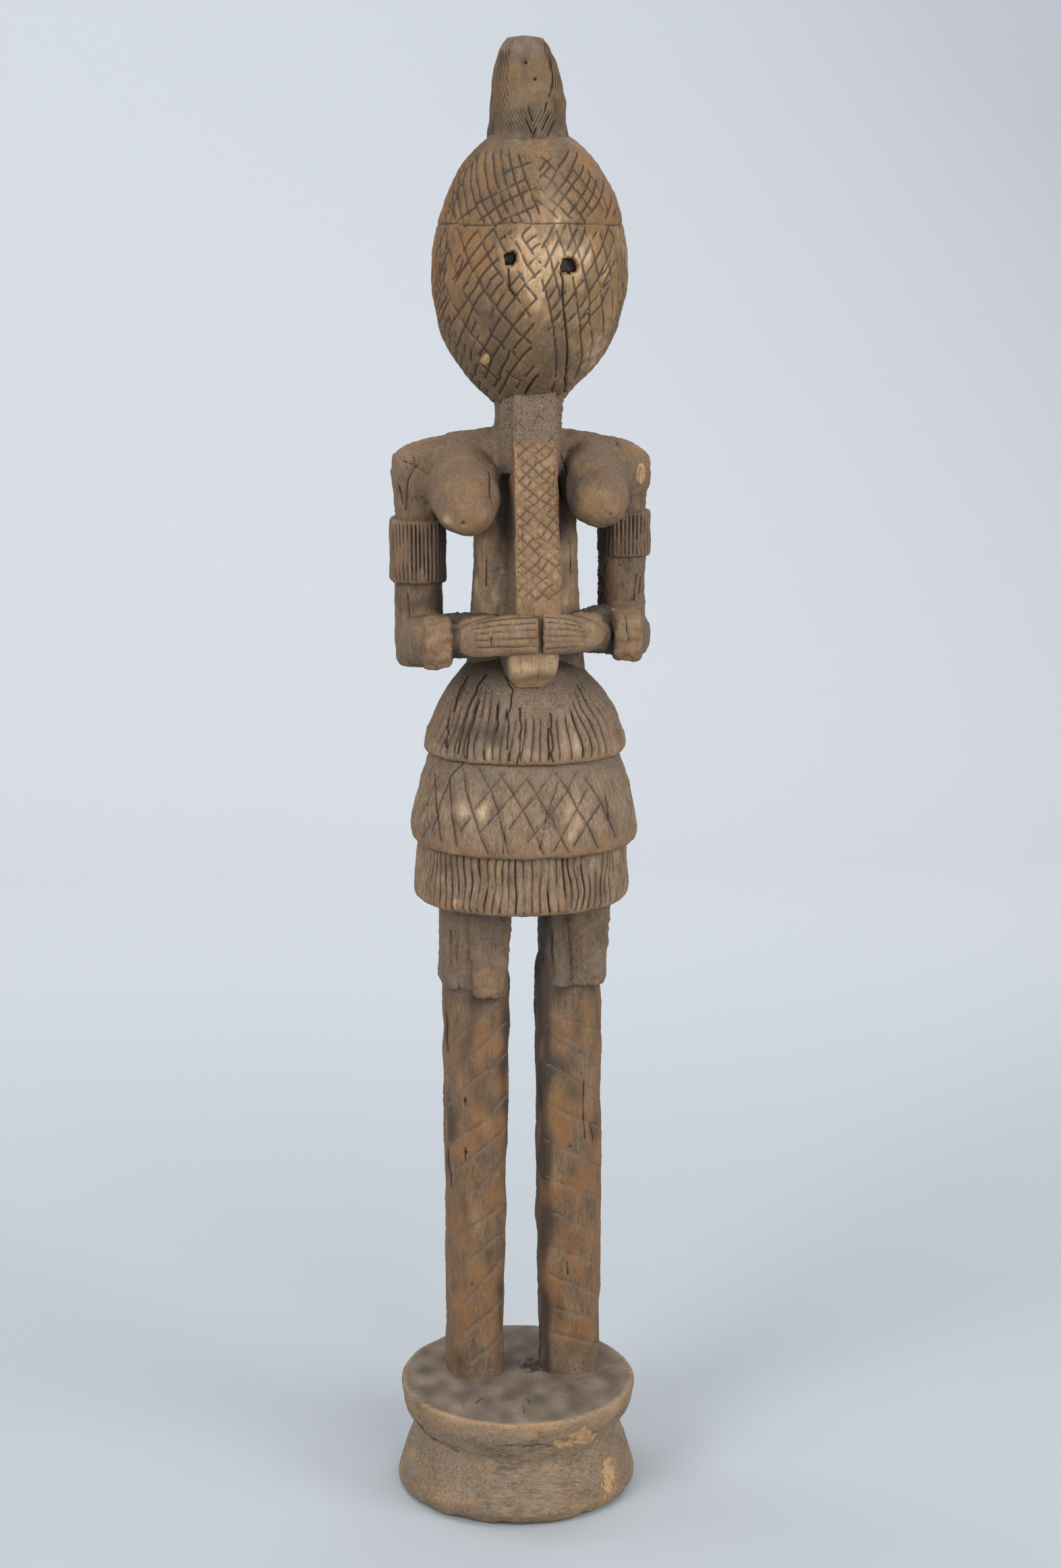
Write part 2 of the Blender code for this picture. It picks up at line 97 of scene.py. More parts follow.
def ripple(points, size, seed, along=1.0):
    # A smooth random field: the sum of sine waves of about that size in random directions, and
    # that many times as long up the grain.
    rng, waves = np.random.default_rng(seed), 22
    heading = rng.normal(size=(3, waves))
    heading /= np.linalg.norm(heading, axis=0)
    turns = heading * (2 * np.pi / (size * rng.uniform(0.65, 1.6, waves)))
    turns[2] /= along
    phases = rng.uniform(0, 2 * np.pi, waves)
    return np.sin(points @ turns + phases).sum(axis=-1) * math.sqrt(2 / waves)


def linesFrom(text):
    # "x,y x,y; x,y x,y" is two lines of two places each
    return [[tuple(float(c) for c in place.split(",")) for place in line.split()] for line in text.split(";")]


def nearLines(x, y, lines, scale=1.0):
    # The distance from each point to the closest straight stretch of any of the lines; the scale
    # turns a line's x into a length, where x is an angle and the scale the radius there.
    nearest = np.full(np.broadcast(x, y, scale).shape, 1e3)
    for line in lines:
        for (ax, ay), (bx, by) in zip(line, line[1:]):
            dx, dy, sx, sy = (bx - ax) * scale, by - ay, (x - ax) * scale, y - ay
            along = np.clip((sx * dx + sy * dy) / (dx * dx + dy * dy + 1e-9), 0, 1)
            nearest = np.minimum(nearest, np.hypot(sx - along * dx, sy - along * dy))
    return nearest


def nearRows(phase, pitch):
    # The distance to the closest row, where the rows lie at every whole phase.
    return np.abs(phase - np.round(phase)) * pitch


def notch(distance, width, depth):
    # A knife cut: minus the depth times (1 - t squared) to the 1.5, with t the distance over the width
    return -depth * np.clip(1 - (distance / width) ** 2, 0, 1) ** 1.5


def view(points, normal, edge, full):
    # Each point's place in the picture, and a share that goes from 0 to 1 as it turns to the front
    return (*inPicture(points), smoothStep(-normal[..., 1], edge, full))


def tracedCuts(px, py, facing, text, mmPerPixel):
    # The distance to lines measured in the picture, which count only on what faces the front
    return nearLines(px, py, linesFrom(text)) * mmPerPixel + (1 - facing) * uncut


def oval(px, py, patch, edge, core, ragged=0.0):
    # 1 inside an oval of the picture and 0 outside it; edge and core are shares of its half-sizes
    x, y, wide, tall = patch
    return smoothStep(np.hypot((px - x) / wide, (py - y) / tall) + ragged, edge, core)


def glows(px, py, patches):
    # The sum of soft patches of the picture: e to the minus squared distance in its half-sizes
    return sum(np.exp(-((px - x) / wide) ** 2 - ((py - y) / tall) ** 2) for x, y, wide, tall in patches)


def rounded(angle, power):
    # The reach of a rounded box in a direction: (|cos|^p + |sin|^p)^(-1/p)
    return (np.abs(np.cos(angle)) ** power + np.abs(np.sin(angle)) ** power) ** (-1 / power)


def turnsRound(count, crowding=0.0):
    # Angles round, closer together at the front (-90 degrees): even steps less crowding times sine
    even = np.arange(count) / count * 2 * np.pi
    return (even - crowding * np.sin(even + np.pi / 2))[None, :]


def fromFront(turn):
    # The same angles counted from the front, + to the figure's left
    return np.mod(turn + np.pi / 2 + np.pi, 2 * np.pi) - np.pi


def evenRows(outline, count):
    # Points at even distances along an outline of (height, size, ...) rows.
    outline = np.asarray(outline, float)
    steps = np.hypot(np.diff(outline[:, 0]), np.diff(outline[:, 1]))
    reach = np.concatenate([[0], np.cumsum(steps)])
    at = np.linspace(0, reach[-1], count)
    return np.stack([np.interp(at, reach, outline[:, k]) for k in range(outline.shape[1])], axis=1)


def smoothRows(outline, count, steps=700):
    # The same, along a smooth curve through the outline's knots
    fine = np.linspace(outline[0][0], outline[-1][0], steps)
    return evenRows(np.column_stack([fine, smoothCurve(fine, outline)]), count)


def columnsOf(rows):
    # Each column of rows as an upright array, which spreads over the turns
    return [rows[:, k][:, None] for k in range(rows.shape[1])]


def ringGrid(z, half, deep, middle, setback, turn, power):
    # A rounded-box ring at each height: its middle plus its half-size times the reach each way
    reach = rounded(turn, power)
    x = middle + half * reach * np.cos(turn)
    return np.stack([x, setback + deep * reach * np.sin(turn), z + 0 * turn], axis=-1)


def gridNormals(points):
    # The cross product of the steps round and up the grid
    around = np.roll(points, -1, axis=1) - np.roll(points, 1, axis=1)
    upward = np.gradient(points, axis=0)
    normal = np.cross(around, upward)
    return normal / np.maximum(np.linalg.norm(normal, axis=-1, keepdims=True), 1e-9)


# What the finish reads at each point: mm from a cut or crack, and shares of the rest
distances = {"cut": uncut, "crack": uncut}
# wear also carries painted highlights, and stain also carries painted shade
marks = {**distances, "wearAndSheen": 0.0, "crust": 0.0, "chip": 0.0, "dust": 0.0, "stainAndShade": 0.0, "warmth": 0.0}


def makeMesh(name, places, corners, counts, values):
    # Puts whole arrays of places (mm), face corners and marks into a new mesh object.
    mesh = bpy.data.meshes.new(name)
    mesh.vertices.add(len(places))
    mesh.vertices.foreach_set("co", (places * 0.001).astype(np.float32).ravel())
    mesh.loops.add(len(corners))
    mesh.loops.foreach_set("vertex_index", corners.astype(np.int32))
    mesh.polygons.add(len(counts))
    starts = np.concatenate([[0], np.cumsum(counts)[:-1]])
    mesh.polygons.foreach_set("loop_start", starts.astype(np.int32))
    mesh.update(calc_edges=True)
    mesh.shade_smooth()
    for mark, level in marks.items():
        value = values.get(mark, level)
        value = np.broadcast_to(value if mark in distances else held(value), (len(places),))
        layer = mesh.attributes.new(mark, "FLOAT", "POINT")
        layer.data.foreach_set("value", value.astype(np.float32))
    piece = bpy.data.objects.new(name, mesh)
    bpy.context.scene.collection.objects.link(piece)
    return piece


def ringFaces(rows, columns):
    # The four corners of each face of a grid that closes on itself round, and each place's number
    index = np.arange(rows * columns).reshape(rows, columns)
    after = np.roll(index, -1, axis=1)
    return np.stack([index[:-1], after[:-1], after[1:], index[1:]], axis=-1), index, after


def gridPiece(name, points, values):
    # A grid that closes on itself round, and with a pole at each end
    rows, columns = points.shape[:2]
    quads, index, after = ringFaces(rows, columns)
    low, high = rows * columns, rows * columns + 1
    foot = np.stack([after[0], index[0], np.full(columns, low)], axis=-1)
    head = np.stack([index[-1], after[-1], np.full(columns, high)], axis=-1)
    places = np.concatenate([points.reshape(-1, 3), points[:1].mean(axis=1), points[-1:].mean(axis=1)])
    flat = {}
    for mark, value in values.items():
        value = np.broadcast_to(value if mark in distances else held(value), (rows, columns))
        flat[mark] = np.concatenate([value.ravel(), [value[0].mean(), value[-1].mean()]])
    counts = np.concatenate([np.full((rows - 1) * columns, 4), np.full(2 * columns, 3)])
    return makeMesh(name, places, np.concatenate([part.ravel() for part in (quads, foot, head)]), counts, flat)


def shell(points):
    # A bare closed shell of (rows, columns) points, as places and faces for blendForms
    quads, index, _ = ringFaces(*points.shape[:2])
    faces = quads.reshape(-1, 4).tolist() + [index[0][::-1].tolist(), index[-1].tolist()]
    return points.reshape(-1, 3), faces


def readBack(source, field, size, kind):
    # One field of a mesh's vertices, corners or faces as a flat array
    found = np.empty(len(source) * size, kind)
    source.foreach_get(field, found)
    return found


def blendForms(name, shells, voxel, softness):
    # Joins closed shells into one skin of small squares, then evens out their creases.
    places, faces, start = [], [], 0
    for points, rings in shells:
        places.append(points)
        faces += [[k + start for k in ring] for ring in rings]
        start += len(points)
    mesh = bpy.data.meshes.new(name)
    mesh.from_pydata((np.concatenate(places) * 0.001).tolist(), [], faces)
    rough = bpy.data.objects.new(name, mesh)
    bpy.context.scene.collection.objects.link(rough)
    remesh = rough.modifiers.new("skin", "REMESH")
    remesh.mode, remesh.voxel_size = "VOXEL", voxel * 0.001
    soft = rough.modifiers.new("soften", "SMOOTH")
    soft.factor, soft.iterations = 0.5, softness
    made = rough.evaluated_get(bpy.context.evaluated_depsgraph_get()).to_mesh()
    skin = readBack(made.vertices, "co", 3, np.float32).reshape(-1, 3) * 1000.0
    normal = readBack(made.vertex_normals, "vector", 3, np.float32).reshape(-1, 3)
    corners = readBack(made.loops, "vertex_index", 1, np.int32)
    counts = readBack(made.polygons, "loop_total", 1, np.int32)
    bpy.data.objects.remove(rough)
    bpy.data.meshes.remove(mesh)
    return skin, normal, corners, counts


def finish(piece, material):
    # Every piece stands for the one CAD node, rides on its body and has its finish.
    piece.data.materials.append(material)
    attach(piece, cadBody)
    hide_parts(cadNode)
    print("made", piece.name, sum(len(p.vertices) - 2 for p in piece.data.polygons), "triangles")


def leanAt(z):
    # The figure's middle line: upright to the skirt, then leaning to its left
    return 4.0 + 0.0123 * np.maximum(z - 382.0, 0)


class Wire:
    # One output socket. + - and * on it add Math nodes.
    def __init__(self, sheet, socket):
        self.sheet, self.socket = sheet, socket

    def math(self, operation, first, second):
        # A Math node that works on two wires or numbers
        return self.sheet.node("ShaderNodeMath", {"operation": operation}, {0: first, 1: second})

    def __add__(self, other): return self.math("ADD", self, other)
    def __sub__(self, other): return self.math("SUBTRACT", self, other)
    def __mul__(self, other): return self.math("MULTIPLY", self, other)
    def __radd__(self, other): return self.math("ADD", other, self)
    def __rsub__(self, other): return self.math("SUBTRACT", other, self)
    def __rmul__(self, other): return self.math("MULTIPLY", other, self)

    def step(self, low, high):
        # 0 below low, 1 above high and smooth between; the other way round if low is above high
        settings = {"interpolation_type": "SMOOTHSTEP"}
        return self.sheet.node("ShaderNodeMapRange", settings, {0: self, 1: low, 2: high, 3: 0.0, 4: 1.0})


class Sheet:
    # The node tree of one material
    def __init__(self, name):
        self.material = bpy.data.materials.new(name)
        self.material.use_nodes = True
        self.tree = self.material.node_tree
        self.shader = self.tree.nodes["Principled BSDF"]

    def node(self, kind, settings, inputs, output=0):
        # Adds a node with its settings and inputs, and gives the wire of one output
        made = self.tree.nodes.new(kind)
        for name, value in settings.items():
            setattr(made, name, value)
        self.fill(made, inputs)
        return Wire(self, made.outputs[output])

    def fill(self, made, inputs):
        # Links a wire to each named input, or sets the input's own number
        for key, value in inputs.items():
            if isinstance(value, Wire):
                self.tree.links.new(value.socket, made.inputs[key])
            else:
                made.inputs[key].default_value = value

    def mark(self, name):
        # What the mesh says at each point
        return self.node("ShaderNodeAttribute", {"attribute_name": name}, {}, "Fac")

    def spots(self, where, scale, detail, rough):
        # Soft noise from 0 to 1, with that many patches for each millimetre
        given = {"Vector": where, "Scale": scale, "Detail": detail, "Roughness": rough}
        return self.node("ShaderNodeTexNoise", {}, given, "Fac")

    def blend(self, share, first, second):
        # The first colour times (1 - share) plus the second times the share
        return self.node("ShaderNodeMix", {"data_type": "RGBA"}, {0: share, 6: first, 7: second}, 2)


def tone(red, green, blue):
    # A colour as seen on a screen, 0 to 255, made linear
    shares = [c / 255 for c in (red, green, blue)]
    return tuple(c / 12.92 if c <= 0.04045 else ((c + 0.055) / 1.055) ** 2.4 for c in shares) + (1.0,)


woodColours = {
    "deep": (78, 62, 46), "middle": (118, 95, 71), "light": (154, 126, 94), "warm": (138, 100, 62),
    "pale": (200, 166, 124), "grey": (120, 109, 98), "sand": (140, 121, 101), "crust": (66, 54, 45),
    "stainAndShade": (60, 50, 45), "cutFill": (50, 39, 32), "crackFill": (34, 26, 21),
}
woodLook = {
    **woodColours, "greyShare": 0.4, "warmShare": 0.75, "cutWidth": 0.70,
    "grain": (1.0, 1.0, 0.16), "cloud": (1.0, 1.0, 0.5),  # how closely each pattern repeats along x, y, z
}


def oldWood(name, **changes):
    # Brown wood: a soft body colour, long grain streaks and fine dark specks, under which the
    # marks of the mesh turn to polish and painted highlights, sandy crust, stains and painted shade, fresh chips,
    # dust, knife cuts and cracks.
    look = {**woodLook, **changes}
    paint = {part: tone(*look[part]) for part in woodColours}
    s = Sheet(name)
    spot = s.node("ShaderNodeTexCoord", {}, {}, "Object")
    mm = s.node("ShaderNodeVectorMath", {"operation": "SCALE"}, {0: spot, "Scale": 1000.0})
    grainward = s.node("ShaderNodeVectorMath", {"operation": "MULTIPLY"}, {0: mm, 1: look["grain"]})
    cloudward = s.node("ShaderNodeVectorMath", {"operation": "MULTIPLY"}, {0: mm, 1: look["cloud"]})
    blotch = s.spots(cloudward, 0.06, 4.0, 0.62)
    cloud = s.spots(cloudward, 0.15, 4.0, 0.65)
    haze = s.spots(cloudward, 0.11, 5.0, 0.7)
    grain = s.spots(grainward, 0.85, 4.0, 0.7)
    fibre = s.spots(grainward, 2.6, 2.0, 0.6)
    speck = s.spots(mm, 1.5, 3.0, 0.7)
    pit = s.spots(mm, 0.75, 3.0, 0.6)
    names = ("wearAndSheen", "crust", "chip", "dust", "stainAndShade", "warmth")
    wearAndSheen, crust, chip, dust, stainAndShade, warmth = (s.mark(m) for m in names)
    jitter = (speck - 0.5) * 0.25
    cut = (s.mark("cut") + jitter).step(look["cutWidth"], look["cutWidth"] * 0.45)
    crack = (s.mark("crack") + jitter).step(0.55, 0.18)
    wornAndLit = wearAndSheen + (grain - 0.5) * 0.5
    crusty = (crust + (pit - 0.5) * 0.7).step(0.2, 0.7)
    dusty = (dust + (speck - 0.5) * 0.8).step(0.2, 0.9)
    stainedOrShaded = (stainAndShade + (pit - 0.5) * 0.5).step(0.1, 1.0)
    fresh = (chip + (pit - 0.5) * 0.7).step(0.35, 0.55)
    dustIn = (dust * 0.8 + (speck - 0.5) * 0.6).step(0.15, 0.55) * 0.8
    sandy = s.blend(speck.step(0.38, 0.60), paint["crust"], paint["sand"])
    chipped = s.blend(grain.step(0.3, 0.7), paint["warm"], paint["pale"])
    cutColour = s.blend(dustIn, paint["cutFill"], paint["grey"])

    colour = paint["deep"]
    for share, over in (
            ((blotch * 0.6 + grain * 0.9 + speck * 0.4 - 0.45).step(0.20, 0.80), paint["middle"]),
            ((grain * 0.6 + fibre * 0.6).step(0.55, 0.90) * 0.5, paint["light"]),
            ((cloud * 0.7 + grain * 0.3 + warmth * 0.40).step(0.40, 0.95) * look["warmShare"], paint["warm"]),
            ((haze * 0.7 + speck * 0.3 + dust * 0.2).step(0.36, 0.78) * look["greyShare"], paint["grey"]),
            # wear is real wear and painted highlight: high values paint light and pale tones where light falls
            (wornAndLit.step(0.25, 1.05) * 0.8, paint["light"]),
            (wornAndLit.step(0.75, 1.20) * 0.8, paint["pale"]),
            ((speck * 0.7 + pit * 0.5).step(0.56, 0.40) * 0.6, paint["crust"]),
            # the stain colour is laid both for real stains and as painted shade
            (crusty * 0.8, sandy), (dusty * 0.7, paint["grey"]), (stainedOrShaded * 0.85, paint["stainAndShade"]),
            (fresh * 0.85, chipped), (cut * 0.85, cutColour), (crack * 0.95, paint["crackFill"])):
        colour = s.blend(share, colour, over)

    polishAndSheen = (wornAndLit - stainAndShade * 0.5).step(0.45, 1.0)
    rough = 0.72 - polishAndSheen * 0.30 + crusty * 0.16 + dusty * 0.12 + (speck - 0.5) * 0.25
    height = grain * 0.45 + fibre * 0.25 + speck * 0.30 - cut * 0.3 + crusty * speck * 0.9
    bump = s.node("ShaderNodeBump", {}, {"Height": height, "Strength": 0.55, "Distance": 0.0006})
    s.fill(s.shader, {"Base Color": colour, "Roughness": rough, "Normal": bump, "Specular IOR Level": 0.4,
                      "Coat Weight": polishAndSheen * 0.22, "Coat Roughness": 0.24})
    return s.material


headLook = {
    "rows": 212, "columns": 290, "frontCrowding": 0.42, "browHeight": 635.5, "keelRise": 1.3,
    "widest": 46, "depthShare": 1.01, "eyeDepth": 8.5, "uprightPitch": 5.4, "slantPitch": 6.6, "pixel": 0.325,
    "outline": [  # height, half-width, how far the middle is from the base's
        (549.0, 0.5, 5.4), (550.0, 9.0, 5.4), (552.5, 15.2, 5.4), (556.4, 19.6, 5.2), (560.2, 23.7, 5.3),
        (564.0, 27.4, 5.3), (567.8, 30.8, 5.4), (571.6, 33.8, 5.5), (575.4, 36.3, 5.6), (579.2, 38.5, 5.7),
        (583.0, 40.3, 5.9), (590.5, 42.9, 6.1), (598.1, 44.6, 6.3), (605.6, 45.8, 6.5), (613.1, 46.1, 6.7),
        (620.5, 45.9, 6.9), (628.0, 45.0, 7.0), (635.4, 43.5, 7.1), (642.9, 41.5, 7.3), (650.3, 38.8, 7.3),
        (657.7, 34.9, 7.2), (665.0, 29.9, 7.0), (672.4, 22.6, 6.8), (677.0, 16.0, 6.6), (681.0, 9.0, 6.5),
        (683.0, 0.5, 6.5)],
    "eyes": [(758.7, 383.6, 3.5), (843.6, 394.5, 4.1)],  # place in the picture, radius in mm
    "knot": (756, 346, 3.0),
    "chip": (720, 534, 6, 8),
    "wood": {"middle": (116, 91, 62), "light": (156, 124, 86), "warm": (144, 101, 56), "greyShare": 0.22},
    # places along each cut and crack in the picture, across and down
    "cuts": (
        "769,229 799,316; 754,204 756,236 764,268 788,327; 743,218 744,243 757,293 767,316 774,328; "
        "734,210 732,239 733,256 736,271 741,283 745,299 757,324 762,331; 721,219 719,236 719,252 726,285 "
        "744,327; 709,227 706,252 707,268 714,296 726,323 734,337; 699,240 697,253 700,283 709,311 "
        "717,330; 690,248 687,261 689,292 697,321; 683,254 679,268 678,282 685,322 690,337; 675,265 "
        "671,297 676,324; 669,280 665,295 664,307 666,317; 660,298 657,317; 774,244 786,239; 748,257 "
        "757,251 773,245; 705,303 751,280 766,271 780,265; 710,327 734,308 757,294 783,282 793,279; "
        "732,335 758,319 768,316 791,306; 679,327 705,308; 803,232 840,264 864,293 879,315; 807,259 "
        "818,267 869,328; 801,280 835,311 843,320 850,325; 795,296 819,314 827,324; 849,250 870,275 "
        "876,285 885,296 894,312; 872,253 887,278 899,306 902,318; 800,263 815,247; 800,252 807,241 "
        "819,233; 806,284 820,264 830,244 835,238 844,220 847,210; 820,291 851,242 856,225; 819,313 "
        "843,283 851,270 859,261 864,252 866,244; 843,318 859,297 871,274 875,263 874,254; 862,317 "
        "877,290 882,278 885,266; 872,320 886,300 894,279 895,269; 898,323 905,299 905,287; 909,319 "
        "912,298; 678,338 683,350 687,368 702,401 711,416 717,430 751,475; 708,342 713,356 730,391 "
        "748,416 754,427 786,469; 733,342 750,374; 758,352 765,361 779,389 793,412; 773,349 794,382 "
        "801,390; 767,402 780,424 795,443; 666,368 679,411; 687,434 696,445 710,467; 662,423 673,455 "
        "678,464; 696,354 709,340; 698,382 718,353 731,339; 672,424 687,399 696,389; 702,401 733,365; "
        "712,413 717,405 730,391 739,384; 687,425 695,418; 721,428 727,415 737,406; 728,439 735,428 "
        "748,415; 702,455 716,433; 736,454 750,431; 756,424 772,406; 744,467 779,421 801,401; 769,472 "
        "779,459 795,444; 726,474 731,459; 774,348 779,341 787,335; 781,359 789,352 795,349; 788,371 "
        "794,364 800,361; 785,391 801,375; 742,354 749,349; 686,386 681,401 672,414; 696,354 686,374; "
        "808,365 815,381 832,447; 825,343 836,370 838,379; 844,334 861,384 875,459 876,474; 869,343 "
        "875,358 888,411 893,449 894,474; 890,348 898,375 900,387 904,398 906,411; 901,337 907,349 "
        "911,362 914,390; 804,415 815,457 818,474; 849,411 859,474; 916,402 917,430; 908,430 909,449 "
        "908,464; 803,367 811,354 820,335; 807,396 838,335; 804,432 813,419 828,390; 813,444 825,425; "
        "840,371 856,340; 849,380 865,352 870,336; 863,389 876,359 885,343; 868,410 886,380 901,336; "
        "854,429 865,416; 872,435 884,417 902,379 909,350; 819,459 838,433; 838,455 852,434; 860,456 "
        "869,441; 876,451 889,435; 823,474 832,461; 846,472 851,465; 861,474 873,457; 878,468 891,452; "
        "894,428 903,417; 748,469 759,484 787,510; 726,489 730,498 743,510 747,518; 684,473 698,496 "
        "707,504 731,530; 760,522 764,530 771,536; 751,551 759,558 771,563; 716,543 739,565; 715,553 "
        "722,559; 693,553 702,557; 744,594 751,606; 731,465 727,471; 742,471 722,510 716,518 711,528; "
        "705,478 698,493; 711,496 699,522 698,536; 777,466 761,482 752,498 730,532 724,551 719,562; "
        "791,480 778,497; 773,503 761,518; 755,522 753,531 742,551 740,559; 787,516 748,572 741,585; "
        "791,544 779,557; 772,565 766,575; 758,586 752,595; 690,511 689,522 690,530; 708,541 705,550 "
        "706,558; 675,489 676,499; 667,475 668,485; 679,522 693,541; 733,574 737,567 743,561; 816,465 "
        "821,488 821,498; 822,503 824,532 823,559; 821,568 818,578 818,592; 858,465 861,482 862,498 "
        "861,522 851,564; 874,465 877,497 871,536; 894,465 895,480 894,496 890,517; 831,465 827,471 "
        "820,476; 854,465 833,489; 871,465 862,476; 874,476 867,484 861,494; 820,484 812,490; "
        "698,382 686,398 680,408; 702,401 692,419 684,432; 712,413 703,430 690,449 680,463; 702,456 691,479; "
        "690,368 679,383 675,390; 691,480 684,497 681,512; 660,340 664,368; 652,352 655,392 660,423; "
        "648,372 650,404; 655,392 648,420 646,446; 660,423 650,452 648,470; 666,368 658,388 652,408; "
        "917,430 916,458 914,473; 886,416 899,400 905,384; 889,435 900,412 910,386; 891,452 903,427; "
        "923,350 926,384 925,412 920,450 914,480; 919,345 921,380 920,412; 655,455 662,490 676,520; "
        "668,442 658,462 652,480; 680,463 668,485 664,500; 716,517 729,529; 650,340 646,365 643,390"),
    "cracks": (
        "831,403 835,416 834,435 837,474; 837,465 840,492 841,526 840,544; 840,547 840,554 837,561 "
        "838,567 836,579 837,582; 796,556 777,588 769,605; 753,399 755,429 763,438 "),
}


def ontoHead(line):
    # Where the camera's ray through each place first meets the egg, as (turn from the front, height)
    across, down = np.array(line, float).T
    ray = (shotAhead + (across - shot["pictureWidth"] / 2)[:, None] / shotFocal * shotRight
           - (down - shot["pictureHeight"] / 2)[:, None] / shotFocal * shotUp)
    depth = np.linspace(1130, 1290, 641)[:, None, None]
    spot = shotEye + depth * ray
    half, middle = smoothCurve(spot[..., 2], headLook["outline"]).transpose(2, 0, 1)
    inside = np.hypot(spot[..., 0] - middle, spot[..., 1] / headLook["depthShare"]) < half
    inside &= (spot[..., 2] > 550) & (spot[..., 2] < 682)
    first = spot[np.argmax(inside, axis=0), np.arange(len(line))]
    half, middle = smoothCurve(first[:, 2], headLook["outline"]).T
    turn = np.arctan2(first[:, 0] - middle, -first[:, 1])
    found = inside.any(axis=0)
    return [(t, z) for t, z, f in zip(turn, first[:, 2], found) if f]


